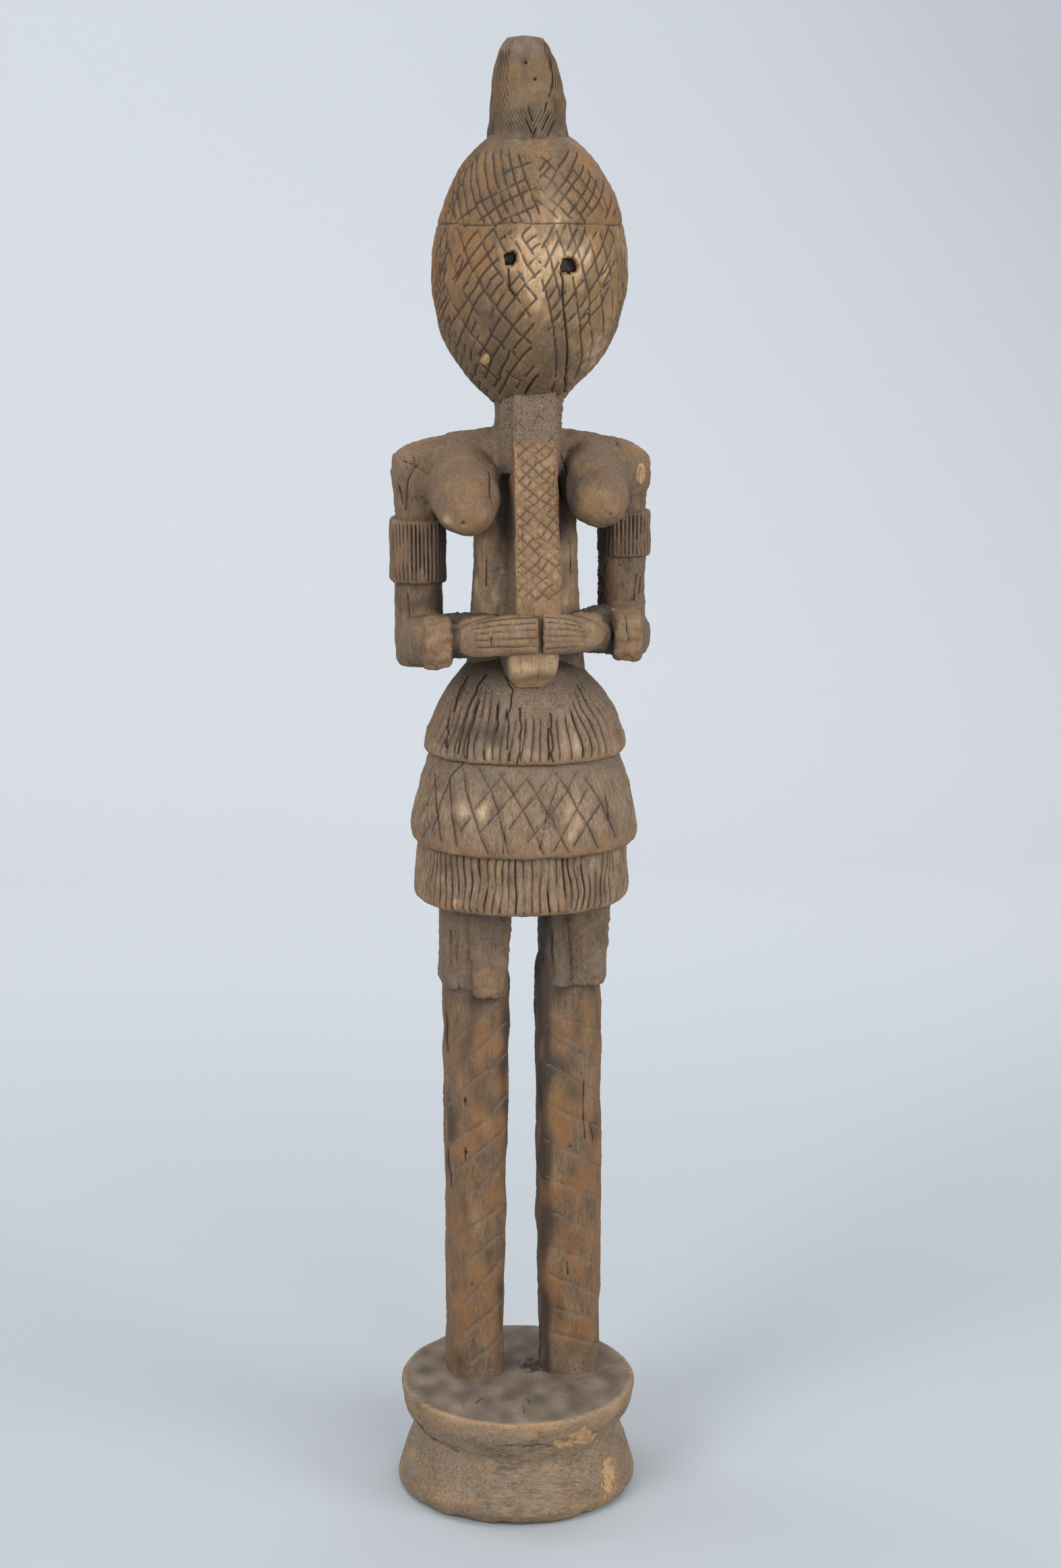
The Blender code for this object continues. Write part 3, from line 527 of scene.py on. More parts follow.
def makeHead():
    # An egg: at each height a nearly round ring, with a low keel where the front planes meet.
    # Knife cuts in crossing rows follow the distance round and up from the brow line.
    look = headLook
    rows = smoothRows(look["outline"], look["rows"])
    turn = turnsRound(look["columns"], look["frontCrowding"])
    z, half, middle = columnsOf(rows)
    ahead, widest = fromFront(turn), look["widest"]
    reach = half * rounded(turn, 2.06)
    reach = reach + look["keelRise"] * (half / widest) * np.exp(-np.abs(ahead / 0.16) ** 1.3)
    x, y = middle + reach * np.cos(turn), reach * np.sin(turn) * look["depthShare"]
    points = np.stack([x, y, z + 0 * turn], axis=-1)
    normal = gridNormals(points)

    # Across is the way round from the keel, and rise the way up from the brow
    climb = np.concatenate([[0], np.cumsum(np.hypot(np.diff(rows[:, 0]), np.diff(rows[:, 1])))])
    climb = climb - np.interp(look["browHeight"], rows[:, 0], climb)

    def rowsOnHead(text):
        # The lines' places as (turn from the front, way up from the brow)
        found = [ontoHead(line) for line in linesFrom(text)]
        return [[(t, np.interp(height, rows[:, 0], climb)) for t, height in line] for line in found]

    rise, across = climb[:, None], ahead * half
    wobble = ripple(points, 34.0, 11) * 0.16

    def cutRows(angle, pitch, shift=0.0):
        # The distance to slanting rows: the way up times the cosine less the way across times the sine
        slope = math.radians(angle)
        return nearRows((rise * math.cos(slope) - across * math.sin(slope)) / pitch + shift + wobble, pitch)

    shaky = 0.08 * ripple(points, 7.0, 12)
    cut = nearLines(ahead + shaky / widest, rise + shaky, rowsOnHead(look["cuts"]), half)
    upright = nearRows(ahead * widest / look["uprightPitch"] + wobble + rise * 0.012, look["uprightPitch"])
    rising, falling = cutRows(52, look["slantPitch"]), cutRows(-50, look["slantPitch"], 0.4)
    slanting = np.where(ahead * (rise + 1) > 0, rising, falling)
    cut = np.minimum(cut, np.minimum(upright, slanting) + smoothStep(np.abs(ahead), 1.12, 0.94) * uncut)
    cut = cut + smoothStep(z, 667, 675) * 1.5
    brow = np.abs(rise + 0.3 * ripple(points, 25.0, 13)) + 0 * across
    cut = np.minimum(cut + 0.3 * held(ripple(points, 8.0, 14) - 0.7), brow + 0.12)
    crack = nearLines(ahead, rise, rowsOnHead(look["cracks"]), half) - 0.15

    px, py, facing = view(points, normal, 0.05, 0.3)
    holes, rim = np.zeros_like(px), np.zeros_like(px)
    for ex, ey, radius in look["eyes"]:
        away = np.hypot(px - ex, py - ey) * look["pixel"] + 0.35 * ripple(points, 3.0, int(ex))
        holes = np.maximum(holes, smoothStep(away, radius + 0.5, radius - 0.6) * facing)
        rim = np.maximum(rim, smoothStep(away, radius + 12, radius + 1) * facing)
    knotX, knotY, knotRadius = look["knot"]
    knot = np.hypot(px - knotX, py - knotY) * look["pixel"]
    holes = np.maximum(holes, 0.2 * smoothStep(knot, 1.6, 0.6) * facing)
    knotLine = np.abs(knot - knotRadius) + 0.25 + 0.4 * smoothStep(py, knotY + 2, knotY - 4)
    crack = np.minimum(crack, knotLine + (1 - facing) * uncut)
    relief = notch(cut, 0.95, 0.62) + notch(crack, 0.8, 1.3)
    relief += 0.24 * ripple(points, 17.0, 15) + 0.05 * ripple(points, 3.2, 16)
    relief += 0.22 * (np.clip(cut, 0, 2.2) / 2.2 - 0.5)
    points = points + normal * relief[..., None]
    points[..., 1] += holes * look["eyeDepth"]

    patchy = ripple(points, 22.0, 17)
    face = np.exp(-((across + 1.5) / 17.0) ** 2 - ((rise + 17) / 24.0) ** 2)
    forehead = np.exp(-((across - 4) / 13.0) ** 2 - ((rise - 14) / 17.0) ** 2)
    keel = np.exp(-((across + 2) / 7.0) ** 2) * smoothStep(rise, -62, -30) * smoothStep(rise, 12, 0)
    lowLeft = np.exp(-((across + 24) / 17.0) ** 2 - ((rise + 52) / 20.0) ** 2)
    lowRight = np.exp(-((across - 11) / 10.0) ** 2 - ((rise + 62) / 13.0) ** 2)
    cheeks = smoothStep(np.abs(across), 12, 26) * smoothStep(rise, -60, -30)
    values = {
        "cut": cut, "crack": np.minimum(crack, np.where(holes > 0.4, 0.0, uncut)),
        # wear here also paints highlights: pale on the face, forehead, keel, round the eyes and below the brow on
        # the figure's left
        "wearAndSheen": 0.16 + 0.10 * patchy + 0.66 * face + 0.36 * forehead + 0.45 * keel + 0.25 * rim
                + 0.44 * smoothStep(across, 4, 22) * smoothStep(rise, 4, -8) + 0.08 * ripple(points, 5.0, 19),
        "crust": smoothStep(z, 562, 551) * 0.4 + 0.12 * ripple(points, 12.0, 18) - 0.08,
        "stainAndShade": 0.60 * lowLeft + 0.45 * lowRight + 0.25 * smoothStep(z, 664, 674) * smoothStep(across, 4, -10)
                 + 0.12 * patchy * (1 - face) + 0.36 * smoothStep(across, -6, -16) * smoothStep(rise, 2, 10),
        "warmth": 0.50 * cheeks + 0.25 * forehead + 0.15 * ripple(points, 16.0, 9),
        "chip": oval(px, py, look["chip"], 1.3, 0.6, 0.3 * ripple(points, 4.0, 20)) * facing,
        "dust": smoothStep(z, 664, 675) * 0.45 * (0.6 + 0.5 * ripple(points, 6.0, 8)) + 0.35 * lowRight
                + 0.45 * forehead * (across > 0) + 0.12 * (across < -20),
    }
    finish(gridPiece("mask_head", points, values), oldWood("mask_wood", **look["wood"]))


crestLook = {
    "rows": 120, "columns": 260, "setback": 5.0, "facetFoot": -19.5, "facetTop": -4.5,
    "pitch": 1.9, "pixel": 0.325,
    "outline": [  # height, half-width, half-depth, middle
        (660.0, 0.5, 0.5, 6.8), (660.6, 14.0, 19.0, 6.8), (663.0, 16.6, 23.5, 6.8), (668.0, 18.4, 25.8, 6.6),
        (673.0, 18.9, 26.4, 6.5), (677.5, 18.4, 26.0, 6.3),
        (683.5, 17.7, 25.2, 6.3), (689.6, 17.5, 24.2, 6.4), (695.7, 16.7, 22.6, 6.4), (701.7, 15.8, 20.6, 6.0),
        (707.8, 14.4, 18.2, 5.7), (712.0, 12.9, 16.0, 5.3), (715.8, 11.3, 13.6, 5.1), (718.6, 9.4, 11.0, 5.3),
        (720.2, 7.0, 8.0, 5.4), (720.8, 3.0, 3.5, 5.4), (721.0, 0.5, 0.5, 5.4)],
    "cracks": "813,83 817,92; 817,92 820,110 820,122 818,134; 817,137 814,143; 811,152 809,163; "
              "779,175 789,197; 783,158 789,178; 795,190 789,206; 825,178 812,200; 815,170 804,192",
    "holes": [(779.7, 91.5, 2.2), (793.8, 115.9, 2.6)],
    "glint": (797, 140, 24, 26),
    "wood": {"middle": (106, 85, 61), "light": (138, 112, 81), "warm": (126, 92, 50), "cutWidth": 0.62,
             "cutFill": (66, 52, 40), "greyShare": 0.3},
}


def makeCrest():
    # A tall rounded block whose front is sliced by a leaning plane, which leaves an oval facet;
    # fine cuts run up its sides and meet in a V at the foot of the facet.
    look = crestLook
    turn = turnsRound(look["columns"], 0.3)
    z, half, deep, middle = columnsOf(smoothRows(look["outline"], look["rows"]))
    points = ringGrid(z, half, deep, middle, look["setback"], turn, 2.5)
    x, y = points[..., 0], points[..., 1]
    facet = look["facetFoot"] + (look["facetTop"] - look["facetFoot"]) * smoothStep(z, 676, 722)
    facet = facet + 0.035 * (x - middle) ** 2
    blunt = 0.5 * (y + facet + np.sqrt((y - facet) ** 2 + 1.2))
    onFacet = smoothStep(facet - y, -0.3, 1.2) * smoothStep(z, 674, 684)
    onFacet = onFacet * smoothStep(np.abs(x - middle) / half, 0.66, 0.50)
    points[..., 1] = y + (blunt - y) * smoothStep(z, 672, 680)
    normal = gridNormals(points)
    px, py, facing = view(points, normal, 0.0, 0.3)
    ahead, pitch = fromFront(turn), look["pitch"]
    around = np.abs(ahead) * (0.5 * half + 0.5 * deep) + 0.020 * np.maximum(704 - z, 0) ** 1.9
    cut = nearRows(around / pitch + 0.16 * ripple(points, 15.0, 21), pitch)
    cut = cut + onFacet * smoothStep(z, 686, 692) * uncut + 0.2 * held(ripple(points, 8.0, 22))
    crack = tracedCuts(px, py, facing, look["cracks"], look["pixel"])
    holes = sum(smoothStep(np.hypot(px - hx, py - hy), r + 1.4, r - 0.6) for hx, hy, r in look["holes"]) * facing
    relief = notch(cut, 0.8, 0.6) + notch(crack, 0.7, 1.0) + 0.14 * ripple(points, 9.0, 23) - 1.6 * holes
    points = points + normal * relief[..., None]
    values = {
        "cut": cut, "crack": np.minimum(crack, uncut * (1 - holes)),
        # a painted highlight on the facet at the glint
        "wearAndSheen": 0.10 + 0.20 * onFacet * oval(px, py, look["glint"], 1.2, 0.3) + 0.10 * ripple(points, 10.0, 24),
        "crust": 0.12 * ripple(points, 9.0, 25),
        "warmth": 0.40 * smoothStep(z, 680, 690) * smoothStep(z, 714, 704) + 0.12 * ripple(points, 9.0, 27),
        "stainAndShade": 0.35 * smoothStep(z, 684, 674) * smoothStep(ahead, 0.1, -0.3) + 0.12
                 + 0.22 * ripple(points, 6.0, 28, 2.2),
        "dust": 0.35 * smoothStep(z, 682, 674) + 0.45 * smoothStep(z, 706, 716) + 0.15 * ripple(points, 7.0, 26),
    }
    finish(gridPiece("crest", points, values), oldWood("crest_wood", **look["wood"]))


bustLook = {
    "voxel": 0.96, "softness": 4, "pixel": 0.32,
    "trunk": [  # height, half-width, half-depth
        (414.0, 29.0, 23.0), (424.0, 28.4, 22.0), (434.0, 27.4, 20.6), (446.0, 26.6, 19.8), (460.0, 25.6, 19.2),
        (476.0, 24.8, 18.8), (492.0, 24.4, 18.4), (512.0, 24.0, 18.0), (524.0, 22.0, 16.0)],
    "neck": [(520.0, 18.0, 22.0), (538.0, 16.0, 20.6), (546.0, 15.4, 19.6), (552.0, 15.8, 18.8),
             (562.0, 17.0, 18.8)],
    "shoulderTop": 541.2, "shoulderDrop": 11.8, "shoulderHalf": 61.4, "shoulderMiddle": 3.4,
    "shoulderTall": 44.0, "shoulderDeep": 17.5, "shoulderSetback": 7.0,
    "armSpread": 50.0, "armMiddle": 3.3, "armHalf": 10.6, "armDeep": 14.6,
    "armLevels": [  # height, shares of the half-width and of the half-depth
        (470.0, 1.0, 0.97), (499.0, 0.97, 0.98), (508.0, 1.03, 1.0), (519.0, 1.18, 0.98), (527.0, 1.0, 0.8)],
    "right": {"root": (-26.0, -4.0, 517.5), "tip": (-27.0, -50.0, 500.8), "wide": 1.04},
    "left": {"root": (34.0, -4.0, 518.0), "tip": (37.6, -49.0, 505.0), "wide": 0.98},
    "breastShape": [  # share of the way from root to tip, radius
        (-0.35, 17.2), (0.0, 17.6), (0.25, 17.1), (0.5, 15.7), (0.7, 13.6), (0.85, 10.8), (0.94, 7.6),
        (1.0, 3.0)],
    "cracks": "616,690 604,712 601,757; 616,690 632,702; 616,690 612,676; 616,690 598,683; 906,640 918,662; "
              "833,668 838,700 836,735; 726,700 728,740; 590,720 596,748; 720,830 719,870; 846,800 848,850",
    # places and half-sizes in the picture
    "knot": (616, 690, 1, 1), "rightNipple": (686, 777, 1, 1), "leftNipple": (906, 763, 1, 1),
    "chip": (950, 702, 7, 16), "glints": [(668, 768, 13, 8), (882, 758, 12, 10)],
    # patches of painted shade beside and above the breasts, with their strength
    "shades": [((846, 738, 15, 42), 0.8), ((744, 735, 10, 45), 0.56), ((885, 702, 32, 26), 0.35)],
    "wood": {"greyShare": 0.35, "warm": (134, 96, 58)},
}


def ringStack(levels, power, middle, setback, count=56):
    # Level rounded-box rings, one for each (height, half-width, half-depth)
    z, half, deep = columnsOf(np.asarray(levels, float))
    return ringGrid(z, half, deep, middle, setback, turnsRound(count), power)


def tube(centres, halfSide, halfUp, power=2.4, count=40):
    # Rings square to a path: the side lies level, and up is square to the side and the path.
    centres = np.asarray(centres, float)
    along = np.gradient(centres, axis=0)
    along /= np.linalg.norm(along, axis=1, keepdims=True)
    side = np.cross(along, [0.0, 0.0, 1.0])
    side /= np.linalg.norm(side, axis=1, keepdims=True)
    up = np.cross(side, along)
    turn = np.arange(count) / count * 2 * np.pi
    reach = rounded(turn, power)
    flat = (reach * np.cos(turn))[None, :, None] * np.asarray(halfSide, float)[:, None, None] * side[:, None, :]
    tall = (reach * np.sin(turn))[None, :, None] * np.asarray(halfUp, float)[:, None, None] * up[:, None, :]
    return centres[:, None, :] + flat + tall


def breastShell(side):
    # A drop-shaped tube from root to tip
    root, tip = (np.array(bustLook[side][end]) for end in ("root", "tip"))
    share, radius = np.array(bustLook["breastShape"]).T
    return shell(tube(root + (tip - root) * share[:, None], radius * bustLook[side]["wide"], radius * 0.97, 2.0))


def makeBust():
    # Trunk, neck, yoke, breasts and the arms' upper ends, blended into one skin. The yoke is a
    # row of upright rounded boxes across the shoulders, which drop by the share out to the 1.7.
    look = bustLook
    share = np.linspace(-1, 1, 41)
    shape = 1 - np.abs(share) ** 12
    tall = look["shoulderTall"] * (0.74 + 0.26 * np.cos(share * 1.9) ** 2) * (0.45 + 0.55 * shape)
    top = look["shoulderTop"] - look["shoulderDrop"] * np.abs(share) ** 1.7
    top = top - 3.6 * (1 - shape) + 1.2 * smoothStep(np.abs(share), 0.6, 0.8)
    centres = np.stack([look["shoulderMiddle"] + look["shoulderHalf"] * share,
                        look["shoulderSetback"] + 0 * share, top - tall / 2], axis=1)
    yoke = tube(centres * [1, 1, 0], look["shoulderDeep"] * (0.72 + 0.28 * shape), tall / 2, 3.0, 56)
    yoke = yoke + centres[:, None] * [0, 0, 1]
    trunkRings = ringStack(look["trunk"], 3.0, leanAt(480.0), 5.0)
    neckRings = ringStack(look["neck"], 2.9, 6.1, 0.0)
    shells = [shell(trunkRings), shell(neckRings), shell(yoke), breastShell("right"), breastShell("left")]
    for side in (-1, 1):
        levels = np.array(look["armLevels"]) * [1, look["armHalf"], look["armDeep"]]
        middle = look["armMiddle"] + side * look["armSpread"]
        shells.append(shell(ringStack(levels, 3.0, middle, look["shoulderSetback"], 40)))
    places, normal, corners, counts = blendForms("bust", shells, look["voxel"], look["softness"])
    x, _, z = places.T
    px, py, facing = view(places, normal, -0.05, 0.25)
    crack = tracedCuts(px, py, facing, look["cracks"], look["pixel"])
    knot = oval(px, py, look["knot"], 9, 3) * facing
    nipples = oval(px, py, look["rightNipple"], 4.0, 1.5) * facing
    nipples = np.maximum(nipples, 0.7 * oval(px, py, look["leftNipple"], 3.5, 1.5) * facing)
    out = np.abs(x - 3)
    crease = smoothStep(np.abs(x - leanAt(z) - 0.8), 20.0, 12.5) * facing
    armpit = smoothStep(z, 506, 494) * smoothStep(out, 30, 36) * smoothStep(out, 58, 50)
    trunk = smoothStep(z, 500, 486) * smoothStep(np.abs(x - 5), 34, 28)
    crustField = ripple(places, 7.0, 33, 2.2)
    crust = 0.45 * crease + 0.06 * trunk + 0.15 * armpit + 0.16 * crustField + 0.35 * smoothStep(z, 534, 548)
    crust = held(crust)
    lump = crust * (0.32 * ripple(places, 2.6, 34) + 0.22 * ripple(places, 1.7, 35))
    relief = 0.20 * ripple(places, 11.0, 31) + 0.10 * ripple(places, 4.0, 32) + lump
    relief = relief + trunk * 0.14 * ripple(places, 2.4, 38, 7.0)
    relief = relief + notch(crack, 0.8, 0.9) - 0.8 * knot - 2.2 * nipples
    places = places + normal * relief[:, None]
    tips = [np.linalg.norm(places - np.array(look[side]["tip"]), axis=1) for side in ("right", "left")]
    tips = np.minimum(*tips)
    high = smoothStep(tips, 26, 8) + smoothStep(z, 522, 531) * smoothStep(np.abs(x - 3.4), 34, 60) * 0.9
    # wear and painted highlight near the breast tips and shoulder tops, and painted glints
    wornAndLit = (0.30 * high + 0.60 * glows(px, py, look["glints"]) * facing) * (0.8 + 0.2 * ripple(places, 8.0, 36))
    # painted shade in the creases beside the board, under the arms and in the shade patches
    stainAndShade = 0.7 * crease * smoothStep(z, 474, 488) * smoothStep(z, 534, 520) + 0.50 * armpit + 0.10 * crustField
    for patch, strength in look["shades"]:
        stainAndShade = stainAndShade + strength * glows(px, py, [patch]) * facing
    values = {
        "crack": np.minimum(crack, uncut * (1 - nipples)), "crust": crust, "stainAndShade": stainAndShade,
        # the trunk's front is painted lighter, most where it faces the front
        "wearAndSheen": 0.15 + wornAndLit + (0.22 + 0.40 * facing) * trunk + 0.08 * ripple(places, 15.0, 37) - 0.3 * crust,
        "chip": 0.8 * oval(px, py, look["chip"], 1.25, 0.7) * facing,
        "warmth": 0.60 * high + 0.15 * ripple(places, 14.0, 39),
        "dust": 0.30 * smoothStep(crustField, 0.6, 1.6) + 0.25 * crease + 0.15 * trunk,
    }
    finish(makeMesh("bust", places, corners, counts, values), oldWood("bust_wood", **look["wood"]))


boardLook = {
    "rows": 270, "columns": 130, "foot": 420.2, "top": 560.0, "half": 10.9, "rootHalf": 12.8,
    "aside": 0.9, "footAside": 0.7, "blockAside": -2.4, "pitch": 4.2, "slope": 42.0, "patternFoot": 462.0,
    "section": [  # share of the way round, across from -1 to 1, out from the chest
        (0.0, -1.0, 0.0), (0.22, -0.93, 0.96), (0.26, -0.84, 1.0), (0.74, 0.84, 1.0), (0.78, 0.93, 0.96),
        (0.999, 1.0, 0.0)],
    "reach": [  # height, how far forwards
        (424.0, 38.0), (428.0, 41.5), (436.0, 43.5), (446.0, 44.6), (456.0, 45.0), (472.0, 43.0),
        (500.0, 36.8), (530.0, 28.6), (545.0, 23.8), (553.0, 20.8), (560.0, 19.0)],
    "width": [  # height, share of the half-width
        (420.0, 0.60), (421.5, 0.76), (424.0, 0.96), (428.0, 1.09), (434.0, 1.19), (441.0, 1.18),
        (448.0, 1.08), (456.0, 1.06), (472.0, 1.06), (500.0, 1.0), (540.0, 1.0), (560.0, 1.0)],
    "cracks": "774,770 775,812; 822,690 820,730; 800,985 796,1012; 770,970 774,1000", "pixel": 0.32,
    "wood": {"cutWidth": 0.36, "cutFill": (78, 61, 47), "middle": (132, 106, 78), "light": (168, 137, 102)},
}


def makeBoard():
    # A board whose section is a flat front with tight corners and sides that flare to the chest;
    # two sets of slanting cuts leave small worn cushions on its front.
    look = boardLook
    z = np.linspace(look["foot"], look["top"], look["rows"])[:, None]
    share = np.linspace(0, 1, look["columns"], endpoint=False)[None, :]
    # the section starts at the back left corner, and half of the columns are on the front
    bend = np.array(look["section"])
    wide, out = (np.interp(share, bend[:, 0], bend[:, k]) for k in (1, 2))
    half = look["half"] * smoothCurve(z, look["width"])
    middle = leanAt(z) + look["aside"] + look["footAside"] * smoothStep(z, 500, 465)
    middle = middle + look["blockAside"] * smoothStep(z, 452, 440)
    x = middle + wide * (half + (look["rootHalf"] - look["half"]) * (1 - out))
    y = 6.0 - (6.0 + smoothCurve(z, look["reach"])) * out - 0.5 * (1 - wide ** 2) * (out > 0.9)
    y = y + 7.0 * smoothStep(z, 430.0, 420.0) ** 2 * out
    points = np.stack([x, y, z + 0 * share], axis=-1)
    normal = gridNormals(points)
    front = smoothStep(out + 0 * z, 0.9, 0.99)
    pitch, slope = look["pitch"], math.radians(look["slope"])
    sideways, upwards = (x - middle) * math.sin(slope), z * 1.05 * math.cos(slope)
    wobble = 0.10 * ripple(points, 12.0, 41)
    cut = np.minimum(nearRows((sideways + upwards) / pitch + wobble, pitch),
                     nearRows((upwards - sideways) / pitch + 0.4 + wobble, pitch))
    pattern = smoothStep(z, look["patternFoot"] - 4, look["patternFoot"] + 2) * smoothStep(z, 556, 548)
    faint = smoothStep(z, 532, 540)
    cut = cut + (1 - front * pattern) * uncut + 0.2 * held(ripple(points, 9.0, 42) + faint * 0.8)
    cushion = np.clip(cut, 0, 1.9) / 1.9
    px, py = inPicture(points)
    crack = tracedCuts(px, py, front, look["cracks"], look["pixel"]) + 0.3
    crusted = held((1 - front) * 0.30 + faint * 0.55 + 0.12 * ripple(points, 6.0, 44))
    relief = notch(cut, 0.75, 0.38) * (1 - 0.5 * faint) + 0.28 * cushion * front * pattern
    relief = relief + 0.10 * ripple(points, 7.0, 43) + notch(crack, 0.7, 0.8)
    relief = relief + crusted * (0.22 * ripple(points, 2.4, 45) + 0.14 * ripple(points, 1.6, 46))
    points = points + normal * relief[..., None]
    edge = np.exp(-((wide + 0.9) / 0.10) ** 2) * (out > 0.9)
    foot = smoothStep(z, 446, 436)
    wornAndLit = 0.30 + 0.26 * cushion * pattern + 0.40 * edge * (1 - foot) + 0.08 * ripple(points, 9.0, 47)
    values = {
        "cut": cut, "crack": crack, "crust": crusted, "stainAndShade": 0.08 * (1 - front),
        "wearAndSheen": (wornAndLit - 0.3 * faint + 0.52 * foot) * front,
        "warmth": front * (0.62 + 0.3 * edge - 0.6 * faint - 0.3 * foot * smoothStep(z, 424, 430)),
        "dust": 0.22 * foot + 0.3 * faint + 0.3 * (1 - front),
    }
    finish(gridPiece("beard_board", points, values), oldWood("board_wood", **look["wood"]))


armLook = {
    "voxel": 0.82, "softness": 3, "setback": 7.0,
    # height (the first three from the elbow), share of the half-width, half-depth
    "column": [(0.0, 0.84, 12.6), (2.0, 0.96, 14.2), (14.0, 1.02, 15.0), (462.0, 1.0, 14.6), (490.0, 0.96, 14.2)],
    # forearm, bracelet and wrist: places along the middle, half sizes level and upright
    "right": {"middle": -46.4, "half": 11.4, "elbow": 426.5,
              "forearm": [(-46.4, 6.0, 439.5, 10.6, 11.4), (-46.5, -8.0, 440.6, 10.6, 11.3),
                          (-46.0, -20.0, 441.8, 10.4, 11.1),
                          (-45.2, -29.0, 442.8, 9.6, 10.6), (-44.6, -35.5, 443.2, 7.2, 8.6),
                          (-44.4, -38.5, 443.3, 3.5, 5.0)],
              "cuff": [(-47.2, 9.0, 10.0), (-46.6, 10.8, 11.9), (-45.0, 11.5, 12.1), (-40.0, 11.7, 12.2),
                       (-36.0, 11.5, 12.0),
                       (-34.6, 10.6, 11.2), (-34.2, 9.0, 9.6)], "cuffAt": (-32.5, 442.8),
              "wrist": [(-37.0, 5.6, 6.6), (-28.0, 5.6, 6.8)], "wristAt": (-35.0, 444.8),
              "core": [(-46.0, 2.0, 439.5, 10.0, 10.6), (-36.0, -15.0, 442.8, 10.0, 10.8),
                       (-24.0, -29.0, 445.6, 8.6, 10.4),
                       (-12.0, -34.0, 446.4, 7.0, 9.4)],
              "hand": [(-31.0, -38.6, 443.2, 2.8, 3.0), (-30.4, -38.8, 443.4, 4.8, 5.2),
                       (-28.8, -39.2, 443.8, 6.2, 6.8),
                       (-25.5, -39.4, 444.6, 7.4, 7.9), (-19.0, -40.4, 445.8, 8.2, 9.0),
                       (-10.0, -41.3, 447.0, 8.6, 9.8),
                       (0.0, -41.5, 447.8, 8.6, 10.1), (4.8, -41.5, 447.8, 8.6, 10.0),
                       (5.7, -41.5, 447.8, 8.4, 9.8)]},
    "left": {"middle": 52.6, "half": 10.9, "elbow": 430.5,
             "forearm": [(52.6, 6.0, 442.5, 10.2, 11.2), (52.8, -8.0, 442.8, 10.2, 11.1),
                         (52.6, -20.0, 443.3, 10.0, 10.9),
                         (52.0, -29.0, 443.8, 9.2, 10.4), (51.6, -35.5, 444.0, 6.8, 8.4),
                         (51.4, -38.5, 444.0, 3.4, 5.0)],
             "cuff": [(43.2, 8.6, 9.6), (43.6, 10.2, 11.0), (45.0, 11.1, 11.8), (50.0, 11.3, 11.9),
                      (54.2, 11.1, 11.7),
                      (55.4, 9.6, 10.8), (55.9, 8.0, 9.0)], "cuffAt": (-32.5, 444.6),
             "wrist": [(28.0, 5.6, 7.2), (32.0, 5.8, 7.4), (38.0, 5.6, 6.0),
                       (41.0, 5.0, 5.0)], "wristAt": (-33.0, 446.0),
             "core": [(53.0, 2.0, 443.0, 10.0, 10.8), (45.0, -14.0, 445.4, 10.4, 11.4),
                      (35.0, -27.0, 446.6, 9.2, 11.0),
                      (22.0, -34.0, 446.8, 7.0, 9.0)],
             "hand": [(7.7, -41.5, 447.8, 8.4, 9.8), (8.6, -41.5, 447.8, 8.6, 10.0),
                      (14.0, -41.5, 447.6, 8.6, 9.9),
                      (20.0, -41.2, 447.1, 8.2, 9.4), (26.0, -40.4, 446.7, 7.5, 8.4),
                      (31.0, -39.4, 446.2, 6.4, 6.8),
                      (34.6, -38.4, 445.6, 4.8, 4.8), (37.0, -37.6, 445.2, 3.2, 3.2),
                      (38.0, -37.2, 445.0, 1.8, 1.8)]},
    # level lines between the fingers, across and down the picture
    "fingers": "702,924 745,917 799,914; 700,932 745,926 799,923; 702,941 745,936 799,934; 704,950 "
               "745,948 799,946; 708,960 745,960 799,958; 806,914 840,916 866,924; 806,922 840,924 "
               "868,930; 806,932 840,933 870,937; 806,943 840,943 870,944; 806,953 840,952 866,951; "
               "806,963 840,961 858,958",
    "handPixel": 0.315, "armPixel": 0.32, "flatPlace": (892, 944, 12, 18),
    "cracks": "604,880 608,930; 925,900 932,950; 944,850 940,890; 728,944 729,960; 951,855 948,880",
    "wood": {"cutWidth": 0.40, "cutFill": (66, 51, 40)},
}


